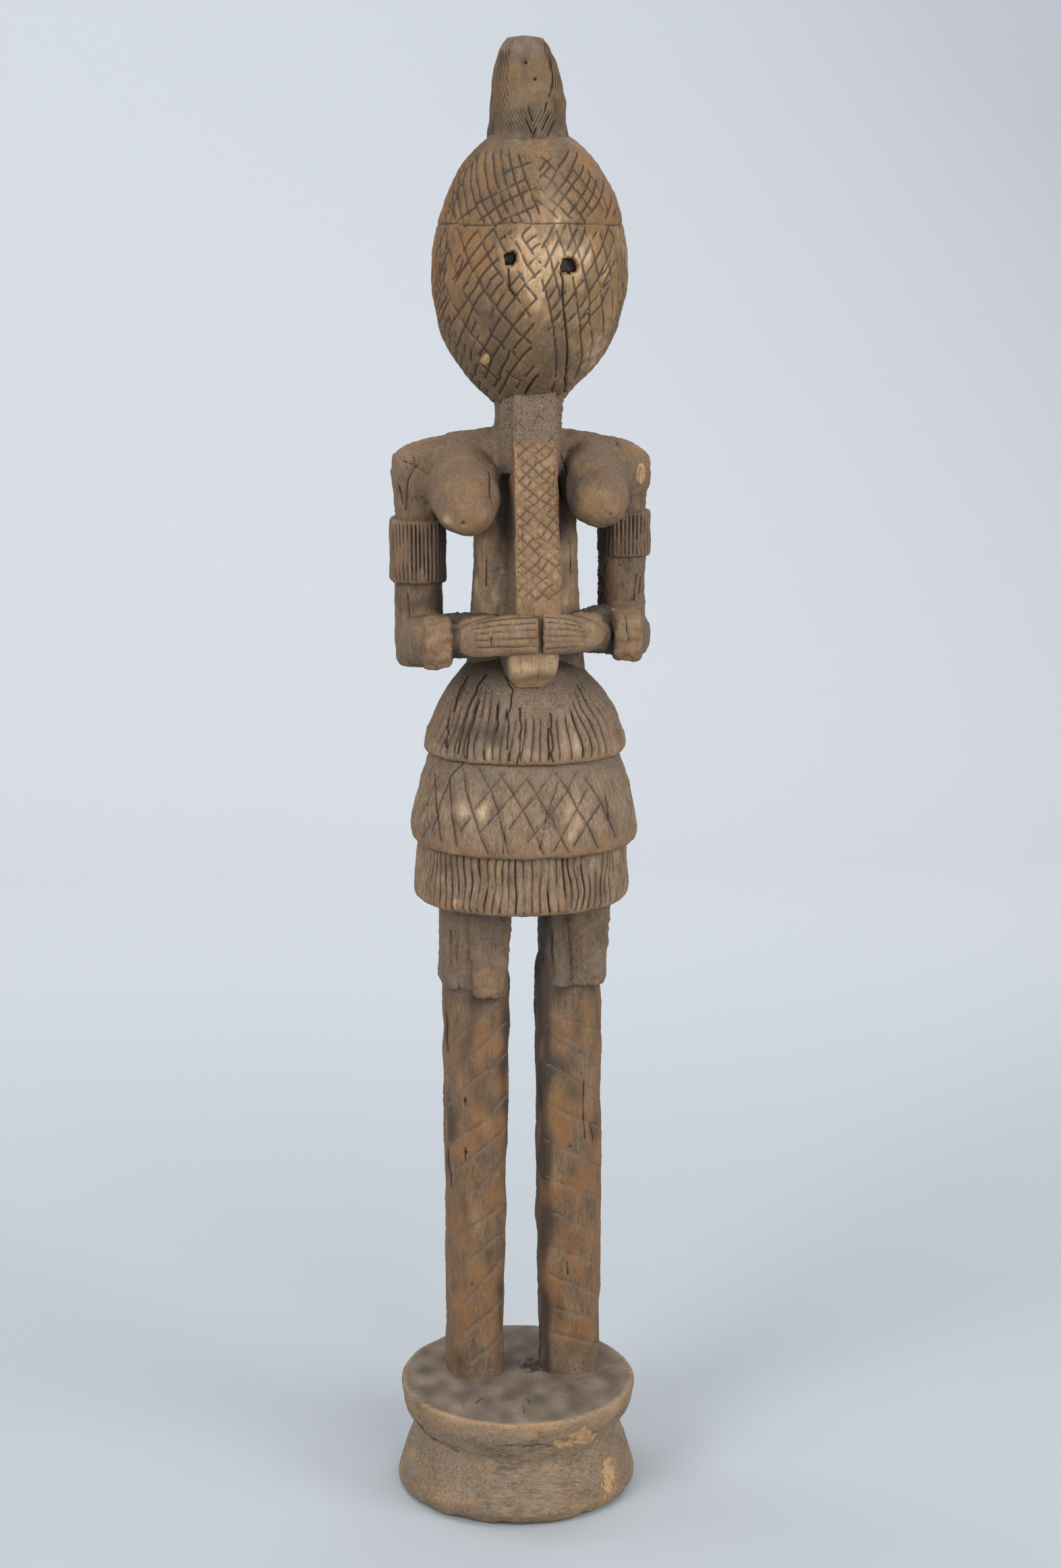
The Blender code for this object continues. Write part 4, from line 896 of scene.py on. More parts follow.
def makeArm(side):
    # The arm below the armlet: an upright column, a forearm that runs forwards to a raised bracelet,
    # a thin wrist, and a long hand with level finger lines. They are blended into one skin.
    look, own = armLook, armLook[side]
    column = np.array(look["column"]) * [1, own["half"], 1]
    column[:3, 0] += own["elbow"]
    parts = [shell(ringStack(column, 3.0, own["middle"], look["setback"], 40))]
    for name, power in (("forearm", 2.6), ("hand", 2.6), ("core", 2.3)):
        path = np.array(own[name])
        parts.append(shell(tube(path[:, :3], path[:, 3], path[:, 4], power)))
    for name, power in (("cuff", 2.8), ("wrist", 2.3)):
        rings, (y, z) = np.array(own[name]), own[name + "At"]
        parts.append(shell(tube(rings[:, :1] * [1, 0, 0] + [0, y, z], rings[:, 1], rings[:, 2], power)))
    places, normal, corners, counts = blendForms("arm_" + side, parts, look["voxel"], look["softness"])
    x, y, z = places.T
    px, py, facing = view(places, normal, 0.0, 0.3)
    handX, cuffX = (np.sort(np.array(own[name])[[0, -1], 0]) for name in ("hand", "cuff"))
    onHand = smoothStep(y, -31.0, -35.0) * within(x, handX, 0.5, 1.0)
    onCuff = smoothStep(y, -18, -24) * within(x, cuffX, 0.4, 0.4)
    cut = tracedCuts(px, py, facing * onHand, look["fingers"], look["handPixel"])
    crack = tracedCuts(px, py, facing, look["cracks"], look["armPixel"])
    left, right, bare = side == "left", side == "right", (1 - onHand) * (1 - onCuff)
    out = np.abs(x - 5)
    flat = oval(px, py, look["flatPlace"], 1.3, 0.8) * left * facing
    gap = smoothStep(y, -12.0, -20.0) * bare * smoothStep(out, 44, 38) * (1 - flat)
    hollow = smoothStep(out, 42, 36) * smoothStep(y, -30, -20) * smoothStep(normal[:, 1], -0.6, -0.2)
    grime = ripple(places, 6.0, 51)
    below = smoothStep(z, 440, 430) * smoothStep(y, -44, -30) * (1 - onCuff)
    crust = held(0.55 * gap + 0.35 * hollow + 0.14 * grime + 0.20 * below + 0.25 * left * bare)
    lump = crust * (0.30 * ripple(places, 2.6, 52) + 0.2 * ripple(places, 1.6, 53))
    beads = onCuff * (0.35 * ripple(places * np.array([0.5, 1, 1]), 4.2, 56) + 0.12 * ripple(places, 2.4, 57))
    relief = notch(cut, 0.85, 0.45) + notch(crack, 0.7, 0.8) + lump + beads + 0.12 * ripple(places, 8.0, 54)
    places = places + normal * relief[:, None]
    ridge = np.clip(cut, 0, 1.3) / 1.3
    # painted shade over the inner half of the right arm, above the hand
    shaded = (0.50 + 0.40 * smoothStep(px, 626, 646)) * smoothStep(py, 925, 900)
    values = {
        "cut": cut, "crack": crack, "crust": crust,
        "wearAndSheen": 0.22 + onHand * facing * (0.16 + 0.22 * ridge) + 0.22 * onCuff * facing
                + 0.08 * ripple(places, 9.0, 55) - 0.3 * crust,
        # stain here is painted shade in the hollow and gap beside the body and on the right arm, with real grime
        # and a darker left arm
        "stainAndShade": 0.75 * hollow + 0.7 * gap + 0.12 * grime + 0.2 * left * bare * (1 - flat) + right * shaded,
        "warmth": 0.35 * onHand + 0.40 * onCuff + 0.14 * ripple(places, 13.0, 58),
        "dust": 0.25 * smoothStep(grime, 0.5, 1.6) + 0.25 * left * onHand,
    }
    finish(makeMesh("arm_" + side, places, corners, counts, values), oldWood("arm_wood_" + side, **look["wood"]))


armletLook = {
    "right": {"low": 467.0, "high": 497.5, "half": 13.5, "middle": -46.7, "grooves": 44},
    "left": {"low": 478.5, "high": 500.5, "half": 12.3, "middle": 53.6, "grooves": 40},
    "deep": 17.0, "setback": 7.0, "edge": 1.6, "rows": 44, "perGroove": 6, "wood": {"cutWidth": 0.42},
}


def makeArmlet(side):
    # A cuff: a rounded-box ring with worn edges, cut with upright grooves all round.
    look, own = armletLook, armletLook[side]
    low, high, edge = own["low"], own["high"], look["edge"]
    outline = [(low, -3.0), (low, -edge), (low + 0.3 * edge, -0.3 * edge), (low + edge, 0.0),
               (high - edge, 0.0), (high - 0.3 * edge, -0.3 * edge), (high, -edge), (high, -3.0)]
    z, inset = columnsOf(evenRows(outline, look["rows"]))
    turn = turnsRound(own["grooves"] * look["perGroove"])
    points = ringGrid(z, own["half"] + inset, look["deep"] + inset, own["middle"], look["setback"], turn, 3.0)
    normal = gridNormals(points)
    z = points[..., 2]
    inner = within(z, (low, high), 0.2, 2.5)
    fading = smoothStep(ripple(points, 9.0, 62, 2.0), -0.2, 0.9)
    groove = nearRows(turn / (2 * np.pi) * own["grooves"], 2 * np.pi * 15 / own["grooves"])
    cut = groove + (1 - inner) * 0.6 + 0.35 * fading
    crack = groove + 0.8 * smoothStep(ripple(points, 8.0, 67, 3.0), -0.9, -0.3) + (1 - inner) * 0.5
    relief = notch(cut, 0.8, 0.55) + notch(crack, 0.5, 0.4)
    relief = relief + 0.14 * ripple(points, 9.0, 63) + 0.06 * ripple(points, 2.0, 64)
    points = points + normal * relief[..., None]
    left, right = side == "left", side == "right"
    inwards = smoothStep(normal[..., 0] * (1 if right else -1), 0.3, 0.8)
    px, _ = inPicture(points)
    values = {
        "cut": cut, "crack": crack + inwards,
        "wearAndSheen": 0.24 + 0.12 * ripple(points, 8.0, 65), "crust": 0.12 + 0.15 * ripple(points, 6.0, 66),
        # painted shade on the cuffs' inner faces and on the inner half of the right one
        "stainAndShade": 0.7 * inwards + 0.2 * left + 0.5 * right * smoothStep(px, 616, 646),
        "warmth": held(0.12 * ripple(points, 9.0, 68)) + 0.2 * right,
    }
    finish(gridPiece("armlet_" + side, points, values), oldWood("armlet_wood_" + side, **look["wood"]))


skirtLook = {
    "depthShare": 0.90, "power": 2.1,
    "upper": {
        "rows": 90, "columns": 504, "strands": 63, "lift": 1.5, "liftFrom": 396.0, "frontDrop": 0.0,
        "drift": 0.30, "driftSize": 24.0, "driftSeed": 71,
        "outline": [  # height, half-width, middle
            (432.0, 20.0, 3.4), (427.0, 27.5, 3.4), (423.3, 30.6, 3.4), (420.7, 32.6, 3.5),
            (418.0, 35.0, 3.7), (415.4, 37.0, 3.9),
            (412.7, 38.9, 4.1), (410.0, 40.6, 4.2), (407.3, 42.2, 4.4), (404.7, 43.5, 4.6),
            (402.0, 44.7, 4.7), (399.3, 45.8, 4.7),
            (396.6, 46.8, 4.6), (393.9, 47.7, 4.5), (391.3, 48.5, 4.5), (388.6, 49.0, 4.4),
            (386.0, 49.2, 4.4), (384.4, 48.9, 4.4),
            (383.3, 48.0, 4.4), (382.7, 46.4, 4.4), (382.6, 43.0, 4.4), (382.6, 38.0, 4.4)],
        "cracks":
            "722,1000 708,1017 699,1038 691,1057 686,1076 682,1098 678,1117; 710,1038 702,1065 695,1090 693,1108 "
            "690,1127; 752,1002 753,1014 759,1023 758,1038 756,1052 753,1065 754,1081 752,1098 752,1111; "
            "771,1049 772,1073 772,1092 770,1117 768,1134; 816,1057 818,1084 820,1106 820,1130; "
            "694,1003 679,1030 672,1054; 737,1044 738,1068 735,1084; 664,1062 662,1090 660,1108",
        "blueGrey": [(712, 1085, 55, 40)], "glints": [(724, 1113, 8, 16), (832, 1106, 8, 16), (853, 1108, 8, 16)],
        "wood": {"middle": (134, 110, 87), "light": (168, 142, 113), "greyShare": 0.5, "cutWidth": 0.45}},
    "middle": {
        "rows": 84, "columns": 448, "lift": -0.8, "liftFrom": 360.0, "frontDrop": 1.5,
        "slants": 30, "lean": 0.050,
        "outline": [
            (386.0, 40.0, 4.0), (384.0, 45.2, 4.0), (382.0, 46.6, 4.0), (379.5, 47.6, 4.0),
            (377.0, 48.5, 4.0), (374.0, 49.5, 4.1),
            (370.0, 50.7, 4.1), (366.0, 51.8, 4.1), (361.5, 52.9, 4.0), (357.0, 53.9, 3.8),
            (353.0, 54.7, 3.7), (349.5, 55.3, 3.8),
            (346.5, 55.6, 4.0), (344.5, 55.4, 4.1), (343.3, 54.7, 4.2), (342.6, 53.2, 4.2),
            (342.4, 50.5, 4.2), (342.4, 44.0, 4.2)],
        "falling":
            "685,1137 690,1171 700,1204 713,1244 726,1272; 709,1137 726,1171 737,1199 745,1233 755,1272; "
            "643,1148 646,1199 653,1247; 665,1160 668,1199 676,1255; "
            "740,1146 762,1179 782,1213 798,1247 807,1269; 782,1154 801,1188 818,1213 832,1241 846,1269; "
            "824,1146 843,1171 857,1199 874,1227 888,1258; 869,1154 888,1182 902,1210 914,1241",
        "rising":
            "703,1199 734,1162 748,1146; 712,1233 740,1202 762,1176 782,1154; "
            "754,1230 773,1204 798,1176 818,1146; 782,1249 813,1213 841,1174 855,1146; "
            "821,1263 855,1202 871,1171; 681,1233 695,1213; 852,1255 871,1221 891,1193",
        "cracks":
            "640,1232 652,1190 668,1150 690,1126; 800,1262 812,1205 828,1160; 745,1268 748,1235; "
            "905,1215 898,1180",
        "glints": [(716, 1210, 13, 22), (852, 1195, 13, 22), (692, 1208, 13, 22), (846, 1240, 13, 22)],
        "wood": {"middle": (136, 112, 88), "light": (172, 145, 114), "cutWidth": 0.46, "cutFill": (62, 49, 40)}},
    "hem": {
        "rows": 66, "columns": 616, "strands": 88, "lift": 2.2, "liftFrom": 332.0, "frontDrop": 0.0,
        "drift": 0.22, "driftSize": 18.0, "driftSeed": 91,
        "outline": [
            (347.0, 44.0, 3.2), (345.0, 50.0, 3.2), (340.0, 51.0, 3.1), (336.0, 51.5, 2.9),
            (330.0, 52.0, 2.8), (324.0, 52.5, 2.7),
            (318.0, 52.9, 2.7), (314.5, 53.0, 2.6), (312.3, 52.8, 2.6), (310.6, 52.0, 2.6),
            (309.4, 50.6, 2.6), (308.8, 48.6, 2.6),
            (308.6, 44.0, 2.6), (308.6, 20.0, 2.6)],
        "chip": (678, 1340, 7, 8),
        "wood": {"middle": (138, 112, 87), "light": (172, 143, 112), "greyShare": 0.4, "cutWidth": 0.42}},
}


def tierGrid(own):
    # A ring for each step down an outline, a little flatter from front to back. The grid's upright
    # lines drift a little from side to side, and the strands drift with them.
    turn = turnsRound(own["columns"])
    z, half, middle = columnsOf(evenRows(own["outline"][::-1], own["rows"]))
    towardsRim = smoothStep(z, own["liftFrom"], own["outline"][-1][0] + 1.5)

    def ring(angle):
        # The reach times the cosine and the sine, with the rim lifted and dropped at the front
        level = z + towardsRim * (own["lift"] - own["frontDrop"] * smoothStep(-np.sin(angle), -0.3, 0.9))
        reach = half * rounded(angle, skirtLook["power"])
        x, y = middle + reach * np.cos(angle), reach * skirtLook["depthShare"] * np.sin(angle)
        return np.stack([x, y, level], axis=-1)

    points = ring(turn)
    if "drift" in own:
        sideways = own["drift"] * ripple(points, own["driftSize"], own["driftSeed"], 1.6)
        points = ring(turn + sideways * 2 * np.pi / own["strands"])
    return turn, z, half, points, gridNormals(points)


def strandCuts(own, turn, points, seed, share):
    # The distance to the groove between two strands, how each strand bulges, and the distance to
    # the cracks that run down some grooves
    pitch = 2 * np.pi * np.mean(np.linalg.norm(points[..., :2], axis=-1), axis=1)[:, None] / own["strands"]
    groove = nearRows(turn / (2 * np.pi) * own["strands"], pitch)
    split = groove + 0.9 * smoothStep(ripple(points, 8.0, seed, 3.2), share - 0.4, share + 0.4)
    return groove, held(groove / pitch * 2) - 0.5, split


def makeUpperTier():
    # The dome's strands: grooves at even turns, which fade at the waist, and long ragged cracks
    own = skirtLook["upper"]
    turn, z, half, points, normal = tierGrid(own)
    px, py, facing = view(points, normal, -0.1, 0.2)
    groove, pillow, split = strandCuts(own, turn, points, 73, -0.5)
    top = 410 + 14 * smoothStep(np.abs(fromFront(turn) - 0.1), 0.25, 0.7)
    fade = smoothStep(z, top + 5, top - 6) * smoothStep(z, 382.6, 385.5)
    pillow = pillow * fade
    cut = groove + (1 - fade) * 2.5 + 0.35 * smoothStep(ripple(points, 12.0, 70, 2.0), 0.0, 1.2)
    crack = tracedCuts(px + 0.7 * ripple(points, 7.0, 74), py, facing, own["cracks"], 0.325) - 0.12
    crack = np.minimum(crack, split + (1 - fade) * 2) + smoothStep(z, 428, 432)
    fibrous = smoothStep(z, 404, 418)
    relief = notch(cut, 0.95, 0.8) + notch(crack, 0.8, 1.0) + 0.45 * pillow + 0.16 * ripple(points, 10.0, 75)
    relief = relief + fibrous * 0.22 * ripple(points, 2.4, 77, 2.4) + 0.06 * ripple(points, 2.4, 76)
    points = points + normal * relief[..., None] * smoothStep(half, 30, 42)[..., None]
    rim = smoothStep(z, 394, 386)
    blueGrey, glint = (glows(px, py, own[name]) * facing for name in ("blueGrey", "glints"))
    values = {
        "cut": cut, "crack": crack,
        "crust": 0.16 + 0.40 * fibrous + 0.12 * ripple(points, 9.0, 78) - 0.12 * rim,
        # wear with painted glints; stain is the blue-grey patch and darker towards the waist
        "wearAndSheen": 0.34 + 0.16 * rim + 0.4 * glint + 0.14 * pillow + 0.08 * ripple(points, 13.0, 79),
        "warmth": 0.65 * rim * (1 - blueGrey) + 0.2 * ripple(points, 10.0, 69),
        "stainAndShade": 0.6 * blueGrey + 0.12 * ripple(points, 14.0, 80) + 0.5 * smoothStep(z, 421, 428),
        "dust": 0.15 + 0.25 * fibrous,
    }
    finish(gridPiece("skirt_upper", points, values), oldWood("fringe_wood", **own["wood"]))


def makeMiddleTier():
    # Two sets of slanting cuts, which cross in large diamonds; those in view follow measured lines,
    # and those behind carry on at the same slant.
    own = skirtLook["middle"]
    turn, z, half, points, normal = tierGrid(own)
    px, py, facing = view(points, normal, -0.1, 0.2)
    around, slant = turn / (2 * np.pi) * own["slants"], z * own["lean"]
    drift = 0.10 * ripple(points, 28.0, 81)
    behind = np.minimum(nearRows(around + slant + drift, 9.0), nearRows(around - slant - drift + 0.35, 9.0))
    behind = behind + uncut * smoothStep(np.abs(fromFront(turn) - 0.02), 1.12, 0.95)
    seen = np.minimum(tracedCuts(px, py, facing, own["falling"], 0.335) - 0.14,
                      tracedCuts(px, py, facing, own["rising"], 0.335))
    cut = np.minimum(seen, behind) + 0.12 * held(ripple(points, 9.0, 82))
    cut = cut + (1 - smoothStep(z, 342.6, 345.0)) * 2
    crack = tracedCuts(px, py, facing, own["cracks"], 0.33) + 0.1
    cushion = np.clip(cut, 0, 3.2) / 3.2 - 0.5
    relief = notch(cut, 1.0, 0.65) + notch(crack, 0.7, 1.0) + 0.5 * cushion
    relief = relief + 0.16 * ripple(points, 13.0, 83) + 0.07 * ripple(points, 3.0, 84)
    points = points + normal * relief[..., None] * smoothStep(half, 40, 46)[..., None]
    # a lighter band round the middle, and painted glints on the diamonds
    polishAndSheen = 0.12 * smoothStep(np.abs(z - 360), 16, 3)
    polishAndSheen = polishAndSheen + 0.30 * glows(px, py, own["glints"]) * facing * (1 + cushion)
    values = {
        "cut": cut, "crack": crack,
        "wearAndSheen": 0.30 + polishAndSheen + 0.14 * cushion + 0.06 * ripple(points, 14.0, 85),
        "warmth": 0.65 * smoothStep(z, 354, 346) + 0.15 * ripple(points, 14.0, 89),
        "crust": 0.05 + 0.10 * ripple(points, 11.0, 86) + 0.4 * smoothStep(z, 372, 381),
        "stainAndShade": 0.16 * ripple(points, 12.0, 88) - 0.04,
        "dust": 0.12 + 0.3 * smoothStep(z, 368, 380),
    }
    finish(gridPiece("skirt_middle", points, values), oldWood("diamond_wood", **own["wood"]))


def makeHemTier():
    # Narrow upright strands, each a little pillow between two grooves
    own = skirtLook["hem"]
    turn, z, half, points, normal = tierGrid(own)
    px, py, facing = view(points, normal, -0.1, 0.2)
    groove, pillow, split = strandCuts(own, turn, points, 93, -0.35)
    fade = smoothStep(z, 308.6, 310.5) * smoothStep(half, 46, 50)
    pillow = pillow * fade
    cut = groove + (1 - fade) * 2 + 0.35 * smoothStep(ripple(points, 11.0, 96, 2.0), 0.0, 1.2)
    crack = split + (1 - fade) * 2 + smoothStep(z, 340, 343)
    relief = notch(cut, 0.85, 0.65) + notch(crack, 0.6, 0.6) + 0.30 * pillow
    relief = relief + 0.13 * ripple(points, 10.0, 94) + 0.05 * ripple(points, 2.4, 95)
    points = points + normal * relief[..., None] * smoothStep(half, 30, 46)[..., None]
    low = smoothStep(z, 320, 311)
    values = {
        "cut": cut, "crack": crack, "dust": 0.15, "chip": oval(px, py, own["chip"], 1.3, 0.6) * facing,
        "wearAndSheen": 0.42 + 0.10 * low + 0.12 * pillow + 0.08 * ripple(points, 12.0, 90),
        "warmth": 0.40 * low + 0.15 * ripple(points, 12.0, 99) + 0.4 * np.exp(-((px - 648) / 9) ** 2) * facing,
        # painted shade down one strip at the front, and random patches
        "stainAndShade": 0.35 * np.exp(-((px - 668) / 22) ** 2) * facing + 0.12 * ripple(points, 13.0, 98),
        "crust": 0.08 + 0.10 * ripple(points, 9.0, 97) + 0.3 * smoothStep(z, 334, 341),
    }
    finish(gridPiece("skirt_hem", points, values), oldWood("hem_wood", **own["wood"]))


legLook = {
    "rows": 190, "columns": 120, "setback": 10.0, "deep": 18.0, "power": 2.9, "footBack": 3.5,
    "right": {"outline": [  # height, half-width, middle
        (44.0, 14.6, -20.4), (62.0, 14.6, -20.4), (90.0, 14.5, -20.2), (130.0, 14.8, -19.9), (170.0, 15.4, -19.8),
        (210.0, 16.0, -19.6), (240.0, 16.3, -19.4), (262.0, 16.4, -19.2), (268.0, 15.9, -18.9),
        (272.0, 14.6, -18.6),
        (274.5, 12.4, -18.4), (275.4, 9.0, -18.4), (275.6, 3.0, -18.4)],
        "cuts":
            "668,1550 700,1520 740,1485; 662,1590 700,1565 753,1514; 660,1640 700,1606 754,1560; 662,1700 "
            "720,1660 755,1620; 663,1745 715,1705 754,1668; 682,1782 720,1750 753,1718; 694,1823 "
            "751,1782; 696,1870 751,1823; 689,1931 751,1859; 664,1845 700,1815; 690,1975 749,1925; "
            "700,2020 749,1975"},
    "left": {"outline": [
        (44.0, 15.2, 28.8), (62.0, 15.2, 28.8), (90.0, 15.4, 28.7), (130.0, 15.9, 28.3), (170.0, 16.2, 28.0),
        (210.0, 16.2, 27.6), (240.0, 16.3, 27.2), (264.0, 16.4, 26.9), (271.0, 15.9, 26.7), (275.5, 14.6, 26.6),
        (278.0, 12.4, 26.4), (279.0, 9.0, 26.4), (279.2, 3.0, 26.4)],
        "cuts":
            "814,1500 891,1530; 811,1519 850,1545 891,1562; 811,1533 889,1584; 811,1577 889,1623; "
            "805,1630 850,1655 889,1672; 808,1690 889,1728; 809,1744 888,1777; 816,1797 890,1828; "
            "814,1846 888,1876; 814,1889 890,1922; 824,1940 888,1957; 812,1975 888,1993"},
    "cutPixel": 0.345,
    "cracks": "866,1600 864,1640 868,1690; 876,1665 880,1690; 840,1870 842,1890; 690,1700 690,1722; "
              "689,1628 690,1640; 797,1560 800,1640; 660,1500 664,1560; 664,1700 667,1760; 798,1742 812,1748",
    "wormHoles": [(690, 1709), (689, 1632), (703, 1568), (861, 1560), (700, 1905), (845, 1700)],
    "wood": {"cutWidth": 0.85, "cutFill": (92, 77, 63), "grey": (117, 103, 89), "greyShare": 0.25,
             "warm": (140, 96, 54)},
}


def makeLeg(side):
    # A tall rounded column with a domed top. Long cuts climb round it like a loose screw thread:
    # those in view follow measured lines, and those behind carry on at the same slant.
    look, own = legLook, legLook[side]
    turn = turnsRound(look["columns"], 0.2)
    z, half, middle = columnsOf(smoothRows(own["outline"], look["rows"], 900))
    setback = look["setback"] + look["footBack"] * smoothStep(z, 240, 80)
    deep = look["deep"] * np.minimum(half / 14.6, 1.0)
    points = ringGrid(z, half, deep, middle, setback, turn, look["power"])
    normal = gridNormals(points)
    px, py, facing = view(points, normal, -0.05, 0.22)
    way = 1 if side == "right" else -1
    slant = z / 17.5 - way * np.sin(turn + np.pi / 2) * 0.45 + 0.15 * ripple(points, 30.0, 101)
    seen = nearLines(px, py, linesFrom(own["cuts"])) * look["cutPixel"]
    cut = np.where(facing > 0.5, seen, nearRows(slant, 15.0) + 0.2)
    cut = cut + smoothStep(np.abs(facing - 0.5), 0.5, 0.2) * 0.8
    cut = cut + smoothStep(z, 262, 268) * 2 + 0.35 * held(ripple(points, 10.0, 102) - 0.3)
    crack = tracedCuts(px, py, facing, look["cracks"], 0.34)
    worm = np.zeros_like(px)
    for wormX, wormY in look["wormHoles"]:
        worm = np.maximum(worm, smoothStep(np.hypot(px - wormX, py - wormY), 4.0, 2.0) * facing)
    flats = 0.30 * ripple(points, 10.0, 103, 3.5) + 0.14 * ripple(points, 14.0, 104)
    relief = notch(cut, 1.2, 0.6) + notch(crack, 0.7, 0.8) + flats + 0.07 * ripple(points, 2.6, 105) - 1.2 * worm
    points = points + normal * relief[..., None] * smoothStep(half, 4, 12)[..., None]
    inwards = smoothStep(normal[..., 0] * way, 0.35, 0.85) * (1.0 if side == "left" else 0.35)
    knee, foot, filled = smoothStep(z, 250, 266), smoothStep(z, 84, 62), smoothStep(cut, 1.1, 0.5)
    values = {
        "cut": cut, "crack": np.minimum(crack, uncut * (1 - worm)),
        "wearAndSheen": 0.24 + 0.14 * ripple(points, 10.0, 106, 4.0) - 0.1 * knee,
        "warmth": 0.50 + 0.28 * ripple(points, 9.0, 109, 3.0) - 0.6 * knee - 0.5 * foot,
        # painted shade on the inner faces, strongest on the left leg, with random patches, darker at the knee and
        # towards the top
        "stainAndShade": 0.75 * inwards + 0.24 * ripple(points, 12.0, 107, 1.8) + 0.2 * knee
                 + 0.30 * smoothStep(z, 150, 220),
        "crust": 0.04 + 0.10 * ripple(points, 9.0, 110) + 0.35 * knee + 0.25 * foot,
        "dust": 0.10 * smoothStep(ripple(points, 15.0, 108), 0.2, 1.4) + 0.35 * foot
                + filled * (0.65 + 0.3 * ripple(points, 9.0, 100)),
    }
    finish(gridPiece("leg_" + side, points, values), oldWood("leg_wood_" + side, **look["wood"]))


thighLook = {
    "right": {"middle": -20.9, "shade": 0.3}, "left": {"middle": 29.3, "shade": 0.8},
    "low": 264.0, "high": 318.0, "half": 16.4, "deep": 18.6, "setback": 9.0, "rows": 64, "columns": 100,
    "cracks": "678,1348 677,1410 679,1465 686,1472; 664,1380 666,1430; 815,1380 818,1450; 655,1400 656,1450",
    "wood": {"greyShare": 0.6},
}
flapLook = {
    "right": {"low": 261.2, "middle": -14.4}, "left": {"low": 266.4, "middle": 34.9},
    "high": 316.0, "half": 9.6, "front": -14.6, "thick": 7.0, "rows": 70, "columns": 64,
    "outline": [  # rise above the low end, shares of the half-width and of the thickness
        (0.0, 0.70, 0.72), (0.5, 0.80, 0.84), (1.8, 0.87, 0.94), (12, 0.93, 1.0), (24, 1.04, 0.92),
        (40, 1.18, 0.82)],
    "warmPlace": (718, 1455, 26, 30), "wood": {"greyShare": 0.5},
}


def makeThigh(side):
    # A column under the skirt, a little wider than the leg below
    look, own = thighLook, thighLook[side]
    low, wide = look["low"], look["half"]
    outline = [(low, wide - 2.2), (low + 0.7, wide - 0.7), (low + 2.4, wide), (290.0, wide),
               (look["high"], wide * 1.02)]
    turn = turnsRound(look["columns"])
    z, half = columnsOf(evenRows(outline, look["rows"]))
    points = ringGrid(z, half, look["deep"] + half - wide, own["middle"], look["setback"], turn, 3.2)
    normal = gridNormals(points)
    px, py, facing = view(points, normal, 0.0, 0.3)
    crack = tracedCuts(px, py, facing, look["cracks"], 0.33)
    relief = 0.3 * ripple(points, 9.0, 111, 3.0) + 0.12 * ripple(points, 3.0, 112) + notch(crack, 1.0, 2.0)
    points = points + normal * relief[..., None]
    inwards = smoothStep(normal[..., 0] * (1 if side == "right" else -1), 0.35, 0.85)
    values = {
        "crack": crack, "wearAndSheen": 0.18 + 0.08 * ripple(points, 12.0, 113),
        "crust": 0.22 + 0.12 * ripple(points, 9.0, 114) + 0.2 * smoothStep(z, 296, 306),
        # painted shade on the inner faces, set by each side's shade share
        "stainAndShade": own["shade"] * inwards + 0.12 * ripple(points, 10.0, 116),
        "warmth": 0.25 * ripple(points, 9.0, 117), "dust": 0.25 + 0.15 * ripple(points, 9.0, 115),
    }
    finish(gridPiece("thigh_" + side, points, values), oldWood("thigh_wood_" + side, **look["wood"]))


def makeFlap(side):
    # The tongue over the knee, which narrows downwards and ends in a square step
    look, own = flapLook, flapLook[side]
    outline = np.array(look["outline"] + [(look["high"] - own["low"], 1.3, 0.7)])
    outline = outline * [1, look["half"], look["thick"]] + [own["low"], 0, 0]
    turn = turnsRound(look["columns"])
    z, half, thick = columnsOf(evenRows(outline, look["rows"]))
    points = ringGrid(z, half, thick, own["middle"], look["front"] + look["thick"], turn, 3.4)
    relief = 0.22 * ripple(points, 6.0, 121) + 0.12 * ripple(points, 2.4, 122)
    points = points + gridNormals(points) * relief[..., None]
    warm = oval(*inPicture(points), look["warmPlace"], 1.2, 0.4)
    values = {
        "wearAndSheen": 0.20 + 0.22 * warm + 0.08 * ripple(points, 8.0, 123),
        "warmth": 0.8 * warm + 0.3 * ripple(points, 9.0, 126), "stainAndShade": 0.16 * ripple(points, 9.0, 127),
        "crust": 0.25 + 0.12 * ripple(points, 8.0, 124) - 0.2 * warm,
        "dust": 0.25 + 0.2 * ripple(points, 8.0, 125),
    }
    finish(gridPiece("knee_flap_" + side, points, values), oldWood("flap_wood_" + side, **look["wood"]))


